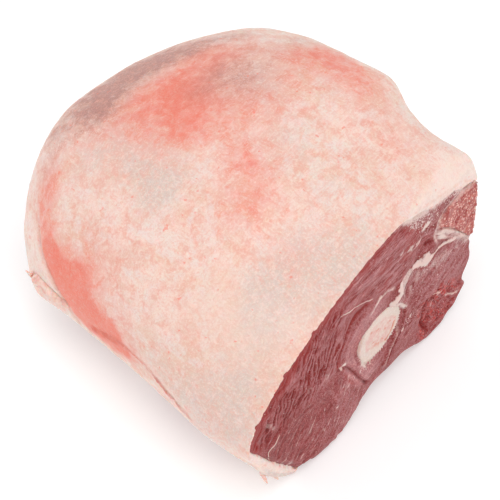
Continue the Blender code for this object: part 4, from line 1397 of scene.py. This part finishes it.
def side_points(rings, alongs):
    """Bare sides and hidden underlay of the meat, with their colour masks."""
    around = rings.shape[1]
    flat = rings.reshape(-1, 3)
    along = np.repeat(alongs, around)
    distance = CUT_X - flat[:, 0]
    lumps = (clouds(flat, 0.007, 73) - 0.5) * 0.0012 + (clouds(flat, 0.0025, 74) - 0.5) * 0.0006
    middle = np.repeat(rings.mean(axis=1), around, axis=0)
    outward = unit((flat - middle) * (0, 1, 1))
    lift = smooth((flat[:, 2] - 0.0006) / 0.004) * smooth(along / 0.006)
    hip_side = smooth((hip_reach(flat[:, 2]) - distance) / 0.0015 + 0.5)
    hip_side *= smooth((flat[:, 1] - 0.040) / 0.004)
    above = smooth((flat[:, 2] - HIP_LOW_Z) / 0.0015)
    hip_side *= above * smooth((HIP_HIGH_Z - flat[:, 2]) / 0.002)
    points = flat + outward * (lumps * lift)[:, None]
    points[:, 1] -= 0.0022 * hip_side
    points = notched(points, along)
    film = smooth((clouds(flat * (0.35, 1, 1), 0.012, 75) - 0.46) / 0.16)
    threads = streaks(distance, flat[:, 1] + flat[:, 2], 0, 0.0018, 0.020, 76)
    masks = {
        "tone": 0.46 + 0.7 * (threads - 0.5) + 0.1 * film,
        "white": np.clip(0.70 * film * smooth(along / 0.012), 0, 1),
        "blood": 0.25 * smooth((0.40 - clouds(flat, 0.012, 77)) / 0.1),
    }
    return points, masks


def far_points(last):
    """Far cut from its edge to the bone, finished like the near one."""
    centre_y, centre_z = bone_place(1)[:2]
    steps = np.linspace(0, 1, int(41 * DETAIL) + 1)[1:-1] ** 0.92
    centre = np.array([last[:, 0].mean(), centre_y, centre_z])
    cap = np.array([last + (centre - last) * share for share in steps])
    flat = cap.reshape(-1, 3)
    share = np.repeat(steps, len(last))
    height, masks = far_cut_face(flat[:, 1], flat[:, 2])
    flat[:, 0] -= height * smooth(share * 8)
    return flat, masks, len(steps), centre + (0.002, 0, 0)


def make_lean(material):
    """Meat with the detailed cut, its bare underside and sides, and the far cut."""
    across = int(316 * DETAIL)
    tall = int(200 * DETAIL)
    around = int(300 * DETAIL)
    whole, length, over = lean_outline(0.0, 400)[1:]
    low_near, low_far, high_far, high_near = CUT_CORNERS
    top, left, bottom, right = split_outline(whole, length,
                                             (high_far, high_near, low_near, low_far),
                                             (across, tall))
    patch = fill_patch([bottom, right, top, left])
    face, masks = face_points(patch, whole, over)
    alongs = np.concatenate([[0.0012], np.linspace(0.0026, END_ALONG, int(70 * DETAIL))])
    rings = np.array([lean_outline(along, around)[0] for along in alongs])
    sides, side_masks = side_points(rings, alongs)
    cap, cap_masks, cap_rows, tip_point = far_points(sides.reshape(rings.shape)[-1])
    numbers = np.arange(len(face)).reshape(patch.shape[:2])
    side_numbers = len(face) + np.arange(len(sides)).reshape(len(alongs), around)
    cap_numbers = len(face) + len(sides) + np.arange(len(cap)).reshape(cap_rows, around)
    tip = len(face) + len(sides) + len(cap)
    vertices = np.concatenate([face, sides, cap, tip_point[None]])
    tube = np.concatenate([side_numbers, cap_numbers])
    looped = np.column_stack([tube, tube[:, :1]])
    faces = grid_quads(numbers) + grid_quads(looped)
    faces += zip_rings(ring_of(numbers), side_numbers[0], vertices)
    faces += [(int(a), int(b), tip) for a, b in zip(looped[-1][:-1], looped[-1][1:])]
    joined = {}
    for name in masks:
        joined[name] = np.concatenate([masks[name], side_masks.get(name, np.zeros(len(sides))),
                                       cap_masks.get(name, np.zeros(len(cap))), [0.5]])
    make_piece("lean_meat", vertices, faces, material, joined, "lean")


# Membranes: line on the cut, radius in mm and how often they dip into the meat
MEMBRANES = ((NEEDLE, 0.2, 0), (LOWER_WHITE, 0.17, 0.7), (LOW_RIGHT_WHITE, 0.17, 0.9),
             (MID_WHITE, 0.15, 0.9))


def tube_faces(rings, sides):
    """Faces of a tube of closed rings, with its two ends."""
    numbers = np.arange(rings * sides).reshape(rings, sides)
    faces = grid_quads(np.column_stack([numbers, numbers[:, :1]]))
    return faces + [numbers[0][::-1].tolist(), numbers[-1].tolist()]


def tube_along(line, radii):
    """Points of a tube round a line, with a radius for each step and side."""
    run = unit(np.gradient(line, axis=0))
    first = unit(np.cross(run, (0.31, 0.17, 0.93)))
    second = np.cross(run, first)
    turn = np.linspace(0, 2 * math.pi, radii.shape[1], endpoint=False)
    circle = (first[:, None] * np.cos(turn)[None, :, None]
              + second[:, None] * np.sin(turn)[None, :, None])
    return (line[:, None] + circle * radii[:, :, None]).reshape(-1, 3)


def join_tubes(tubes):
    """Vertices and faces of several tubes, each given by its line and radii."""
    vertices = []
    faces = []
    for line, radii in tubes:
        base = len(vertices)
        faces += [[base + number for number in face] for face in tube_faces(*radii.shape)]
        vertices.extend(tube_along(line, radii))
    return np.array(vertices), faces


def make_membranes(material):
    """Thin white membranes that stand out of the cut."""
    tubes = []
    for line, radius, gaps in MEMBRANES:
        y, z = bend(mm(line), 70).T
        height = near_cut_face(y, z)[0] + cut_forms(y, z)
        solid = flat_points(y, z)
        share = np.linspace(0, 1, len(y))
        size = radius * MM * np.sqrt(np.clip(np.minimum(share, 1 - share) * 12, 0.02, 1))
        size = size * (0.6 + 0.8 * noise(solid, 0.004, 101))
        dip = gaps * 0.0008 * smooth((noise(solid, 0.0036, 102) - 0.5) / 0.15)
        path = np.column_stack([CUT_X - MEAT_BACK + height - dip, y, z])
        tubes.append((path, np.repeat(size[:, None], 6, 1)))
    vertices, faces = join_tubes(tubes)
    masks = {"tone": np.full(len(vertices), 0.9), "white": np.full(len(vertices), 1.0)}
    make_piece("membranes", vertices, faces, material, masks)


def far_cut_face(y, z):
    """Relief and masks of the hidden far cut, in the manner of the near one."""
    places = np.column_stack([y, z])
    solid = flat_points(y, z) + 0.31
    centre_y, centre_z, radius = bone_place(1)
    from_bone = round_bone(y, z, 1)[1]
    fibre = streaks(y, z, 25, 0.0016, 0.012, 81)
    height = (clouds(solid, 0.009, 82) - 0.5) * 0.0020 + (fibre - 0.5) * 0.0006
    tone = 0.46 + (clouds(solid, 0.010, 83) - 0.5) * 0.4 + (fibre - 0.5) * 0.4
    tone += 0.24 * smooth((0.010 - from_bone) / 0.004)
    white = np.zeros_like(y)
    breakup = clouds(solid, 0.0016, 84)
    for start, bow in ((20, 6), (110, -5), (170, 4), (235, -6), (310, 5)):
        angle = math.radians(start)
        reach = np.linspace(radius + 0.003, 0.050, 5)
        curve = math.radians(bow) * np.linspace(0, 3, 5) ** 1.5
        line = np.column_stack([centre_y + reach * np.cos(angle + curve),
                                centre_z + reach * np.sin(angle + curve)])
        away = distance_to(places, bend(line))[0]
        height -= 0.0012 * bell(away, 0.0011)
        white = np.maximum(white, 0.7 * bell(away, 0.0006 + 0.0007 * breakup))
        # Painted shade along the sides of each groove
        tone -= 0.25 * bell(away - 0.0012, 0.0010)
    height -= 0.0022 * smooth(-from_bone / 0.0012)
    blood = 0.6 * smooth((0.36 - clouds(solid, 0.008, 85)) / 0.1)
    return height, {"tone": tone, "white": white, "blood": blood}


# Bones

# Red slit inside the lower far edge of the thigh bone, in mm (y, z)
BONE_SLIT = ((7.9, 37.2), (6.2, 34.4), (4.4, 32.2), (2.4, 31.2))
# Saw teeth: number round the whole bone, least share of the radius where they lie on the
# meat, and length of the sawn ends
BONE_TEETH = 58
TOOTH_FOOT = 1.03
BONE_END = 0.0035
# How far the sawn bone stands out of the cut
BONE_PROUD = 0.0003


def make_thigh_bone(material):
    """Sawn shaft: two finely cut ends joined by a plain run inside the meat."""
    around = int(420 * DETAIL)
    turn = np.linspace(0, 2 * math.pi, around, endpoint=False)
    back_x = lean_outline(END_ALONG, 50)[0][:, 0].mean()
    circle = np.column_stack([np.cos(turn), np.sin(turn), turn * 0]) * 0.012
    # Saw teeth along the lower far edge, uneven in height and spacing
    beat = turn * BONE_TEETH / (2 * math.pi) + 1.4 * noise(circle, 0.0050, 90)
    teeth = np.abs(2 * (beat % 1) - 1) ** 2 * (0.25 + 1.1 * noise(circle, 0.0016, 91))
    rough = noise(circle, 0.0030, 94) - 0.5
    low_far = smooth(np.cos(turn + 1.05) * 1.6 + 0.15)
    outline = 1 + low_far * (0.15 * teeth - 0.045) + 0.02 * rough
    # The meat just outside the near end, which the teeth lie on
    y0, z0, radius = bone_place(0)
    reach = bone_reach(turn, radius) * np.maximum(outline, TOOTH_FOOT)
    y = y0 + reach * np.cos(turn)
    z = z0 + reach * np.sin(turn)
    meat = near_cut_face(y, z)[0] + cut_forms(y, z) - BONE_PROUD
    vertices = []
    masks = {"core": [], "stain": []}

    def add_ring(x, y, z, core, stain):
        vertices.extend(zip(x, y, z))
        masks["core"].extend(core)
        masks["stain"].extend(stain)

    def end_face(share, side, order):
        y0, z0, radius = bone_place(share)
        x0 = CUT_X if share == 0 else back_x
        for part in order:
            edge = smooth((part - 0.75) / 0.25)
            reach = bone_reach(turn, radius) * (1 + (outline - 1) * edge)
            y = y0 + reach * part * np.cos(turn)
            z = z0 + reach * part * np.sin(turn)
            points = flat_points(y, z)
            bowl = 0.0006 * (1 - smooth((part - 0.45) / 0.4))
            height = (clouds(points, 0.0028, 92) - 0.5) * 0.0007 - bowl
            drop = 0.0007 * (1 - math.sqrt(max(0, 1 - max(0, part - 0.95) / 0.05)))
            height = height - drop * (1 - low_far if share == 0 else 1)
            if share == 0:
                raised = smooth((part - 0.84) / 0.10) * low_far
                height = height + raised * (meat - height)
            rim = 0.78 + 0.10 * np.cos(turn * 2 + 0.7) + 0.06 * np.cos(turn * 5)
            core = smooth((rim - part) / 0.20)
            stain = 0.55 * smooth((clouds(points, 0.0022, 93) - 0.64) / 0.05) * core
            if share == 0:
                slit = bell(distance_to(np.column_stack([y, z]), bend(mm(BONE_SLIT)))[0], 0.00055)
                stain = np.maximum(stain, slit)
                height = height - 0.0005 * slit
            add_ring(x0 + side * (BONE_PROUD + height), y, z, core, stain)

    ends = np.linspace(0.05, 1.0, int(40 * DETAIL))
    end_face(0, 1, ends)
    front = CUT_X - BONE_END
    for share in np.linspace(0, 1, 14):
        y0, z0, radius = bone_place(share)
        reach = bone_reach(turn, radius) * (1 + (outline - 1) * max(0, 1 - share * 12))
        x = front + (back_x + BONE_END - front) * share
        add_ring(np.full(around, x), y0 + reach * np.cos(turn), z0 + reach * np.sin(turn),
                 np.zeros(around), np.zeros(around))
    end_face(1, -1, ends[::-1])
    faces = tube_faces(len(vertices) // around, around)
    make_piece("thigh_bone", vertices, faces, material, masks, "femur")


def make_hip_bone(material):
    """Sawn hip bone: a granular face on the cut that turns the corner onto the far side."""
    tall = int(130 * DETAIL)
    wide = int(80 * DETAIL)
    deep = int(60 * DETAIL)
    outline = mm(HIP_FACE)
    low = HIP_LOW_Z
    high = HIP_HIGH_Z - 0.0004
    angle = np.linspace(math.radians(-12), math.radians(75), 500)
    rows = []
    for z in np.linspace(low, high, tall + 1):
        crossings = []
        for start, end in zip(outline, np.roll(outline, -1, axis=0)):
            if (start[1] > z) != (end[1] > z):
                share = (z - start[1]) / (end[1] - start[1])
                crossings.append(start[0] + share * (end[0] - start[0]))
        skin_y, skin_z = section(0.0, angle)
        corner = float(np.interp(z, skin_z, skin_y)) - 0.0006
        inner = min(crossings) if crossings else corner - 0.002
        outer = corner if z < 0.070 else min(corner, max(crossings) if crossings else corner)
        row = [(CUT_X, y, z) for y in np.linspace(min(inner, outer - 0.0012), outer, wide + 1)]
        reach = float(hip_reach(np.array(z)))
        for distance in np.linspace(0, reach, deep + 1)[1:]:
            skin_y, skin_z = section(distance / LENGTH, angle)
            y = float(np.interp(z, skin_z, skin_y))
            turn = float(np.interp(z, skin_z, angle))
            first = cover_edges(distance)[0]
            under = smooth((turn - first) / math.radians(5) + 0.3)
            row.append((CUT_X - 0.0006 - distance, y - 0.0004 - 0.0034 * under, z))
        rows.append(row)
    surface = np.array(rows)
    columns = wide + deep + 1
    flat = surface.reshape(-1, 3)
    grains = clouds(flat, 0.0016, 95, 2).reshape(surface.shape[:2])
    lumps = clouds(flat, 0.0050, 97).reshape(surface.shape[:2]) - 0.5
    rows_in = np.minimum(np.arange(tall + 1), tall - np.arange(tall + 1)) / tall
    columns_in = np.minimum(np.arange(columns), columns - 1 - np.arange(columns)) / columns
    border = np.minimum(smooth(rows_in * 16)[:, None], smooth(columns_in * 18)[None, :])
    front = smooth((wide + 1.5 - np.arange(columns)) / 3)[None, :]
    lift = (grains - 0.5) * 0.0012 + lumps * 0.0008 - 0.0012 * (1 - border) + 0.0002
    surface[:, :, 0] += lift * front
    surface[:, :, 1] += lift * (1 - front)
    patchy = smooth((clouds(flat, 0.0055, 96) - 0.60) / 0.12).reshape(border.shape)
    height = flat[:, 2].reshape(border.shape)
    pale_top = smooth((height - 0.0745) / 0.002)
    masks = {
        "white": np.clip((1 - border) * 0.35, 0, 1).ravel(),
        "pink": np.clip(0.85 * pale_top + 0.25 * patchy, 0, 0.9).ravel(),
        "grain": np.clip(1.0 - 0.5 * pale_top, 0, 1).ravel(),
    }
    count = len(flat)
    numbers = np.arange(count).reshape(tall + 1, columns)
    heart = np.array([[CUT_X - HIP_DEPTH * 0.4, 0.050, 0.062]])
    vertices = np.concatenate([flat, heart])
    ring = ring_of(numbers)
    faces = grid_quads(numbers)
    faces += [(int(a), int(b), count) for a, b in zip(ring, np.roll(ring, -1))]
    masks = {name: np.append(values, 0) for name, values in masks.items()}
    make_piece("hip_bone_sawn", vertices, faces, material, masks, "hip_bone")


# Ragged roll at the far near corner: mm along, degrees round and radius in mm
RAGGED_ROLL = ((121.5, 189, 0.7), (120, 190.5, 1.7), (116, 188.5, 2.4), (112, 188, 2.3),
               (109, 189, 2), (105, 191.5, 1.8), (101, 193, 1.5), (96, 194, 0.6))
# How far out of the skin the middle of the roll lies, in mm
ROLL_SINK = -0.9
# Shreds of fat: mm along, degrees round, mm out of the skin, radius in mm
SHREDS = (
    ((3, 222, -0.8, 1), (2, 224, 0.2, 0.9), (0.9, 226, 1.2, 0.6), (0.2, 228, 2, 0.2)),
    ((2.4, 236, -0.6, 0.9), (1.6, 238, 0, 0.7), (0.8, 240, 0.5, 0.3)),
    ((119, 188, 0.9, 1.1), (121, 187, 1.8, 0.7), (122, 186, 2.4, 0.2)),
)


def skin_spot(along, degrees, out):
    """Point a little out of the skin, from its place in mm along and degrees round."""
    distance = max(along, 0) * MM
    angle = math.radians(degrees)
    points, normal = even_run(distance, angle - 0.002, angle + 0.002, 2)[:2]
    point = points[1] + normal[1] * out * MM
    point[0] -= min(along, 0) * MM
    return point


def make_shreds(material):
    """Ragged roll of fat under the pale lobe, and loose shreds along the near edge."""
    tubes = []
    raw = []
    roll = [(along, turn, ROLL_SINK, radius) for along, turn, radius in RAGGED_ROLL]
    # Places, steps, sides, widening and redness of each
    parts = [(roll, 60, 20, 1.2, 0.28)] + [(places, 18, 10, 1, 0.45) for places in SHREDS]
    for number, (places, count, sides, widen, red) in enumerate(parts):
        path = bend([skin_spot(*place[:3]) for place in places], count)
        along = np.linspace(0, 1, count)
        radius = [place[-1] for place in places]
        size = np.interp(along, np.linspace(0, 1, len(places)), radius) * MM
        turn = np.linspace(0, 2 * math.pi, sides, endpoint=False)
        grid = np.column_stack([np.repeat(along * 9, sides), np.tile(np.cos(turn), count),
                                np.tile(np.sin(turn), count)])
        rough = clouds(grid + number * 3.7, 1.1, 111).reshape(count, sides)
        fine = clouds(grid * 2.6 + number, 1.1, 112).reshape(count, sides)
        radii = size[:, None] * (0.45 + 0.9 * rough + 0.45 * (fine - 0.5)) * widen
        tubes.append((path, radii))
        raw.extend(smooth((0.50 - fine.ravel()) / 0.15) * red)
    vertices, faces = join_tubes(tubes)
    vertices[:, 2] = np.maximum(vertices[:, 2], FLOOR_GAP)
    masks = {"raw": raw, "pale": np.full(len(raw), 0.7), "blush": np.full(len(raw), 0.25)}
    make_piece("shreds", vertices, faces, material, masks)


# Floor, light and camera

FLOOR_HALF = 3.0
FLOOR_LEVEL = -0.0004
FLOOR_GREY = (0.72, 0.72, 0.72, 1)
FLOOR_GLOW = 0.34
SKY = 0.705
# Lights: name, place, aim, size in metres and power in watts
LIGHTS = (
    ("key", (0.3, -0.3, 1.6), (0, 0, 0.05), 1.0, 9),
    ("cut_side", (1.5, -0.3, 0.9), (0.07, 0, 0.05), 0.8, 4),
    ("left_fill", (-1.4, -0.5, 0.9), (-0.05, -0.03, 0.06), 0.9, 3),
)


def make_floor():
    half = FLOOR_HALF
    mesh = bpy.data.meshes.new("floor")
    mesh.from_pydata([(-half, -half, 0), (half, -half, 0), (half, half, 0), (-half, half, 0)],
                     [], [(0, 1, 2, 3)])
    material = bpy.data.materials.new("floor")
    material.use_nodes = True
    shader = material.node_tree.nodes["Principled BSDF"]
    shader.inputs["Base Color"].default_value = FLOOR_GREY
    shader.inputs["Roughness"].default_value = 0.9
    shader.inputs["Emission Color"].default_value = (1, 1, 1, 1)
    shader.inputs["Emission Strength"].default_value = FLOOR_GLOW
    mesh.materials.append(material)
    floor = bpy.data.objects.new("floor", mesh)
    floor.location = (0, 0, FLOOR_LEVEL)
    bpy.context.scene.collection.objects.link(floor)


def add_light(name, place, target, size, power):
    light = bpy.data.lights.new(name, "AREA")
    light.shape = "DISK"
    light.size = size
    light.energy = power
    item = bpy.data.objects.new(name, light)
    item.location = place
    aim = Vector(target) - Vector(place)
    item.rotation_euler = aim.to_track_quat("-Z", "Y").to_euler()
    bpy.context.scene.collection.objects.link(item)


def light_scene():
    world = bpy.data.worlds.new("studio")
    world.use_nodes = True
    background = world.node_tree.nodes["Background"]
    background.inputs["Color"].default_value = (1, 1, 1, 1)
    background.inputs["Strength"].default_value = SKY
    bpy.context.scene.world = world
    for light in LIGHTS:
        add_light(*light)


def add_camera():
    camera = bpy.data.cameras.new("camera")
    camera.lens = CAMERA_LENS
    camera.sensor_width = 36
    camera.clip_start = 0.05
    item = bpy.data.objects.new("camera", camera)
    back = Vector((math.sin(CAMERA_TURN) * math.cos(CAMERA_HEIGHT),
                      -math.cos(CAMERA_TURN) * math.cos(CAMERA_HEIGHT),
                      math.sin(CAMERA_HEIGHT)))
    item.location = Vector(CAMERA_TARGET) + back * CAMERA_DISTANCE
    item.rotation_euler = (math.pi / 2 - CAMERA_HEIGHT, 0, CAMERA_TURN)
    bpy.context.scene.collection.objects.link(item)
    bpy.context.scene.camera = item
    bpy.context.scene.view_settings.view_transform = "Standard"


lean_meat = lean_material()
fat = fat_material()
make_fat_cover(fat)
make_shreds(fat)
make_lean(lean_meat)
make_membranes(lean_meat)
make_thigh_bone(bone_material())
make_hip_bone(spongy_material())
make_floor()
light_scene()
add_camera()
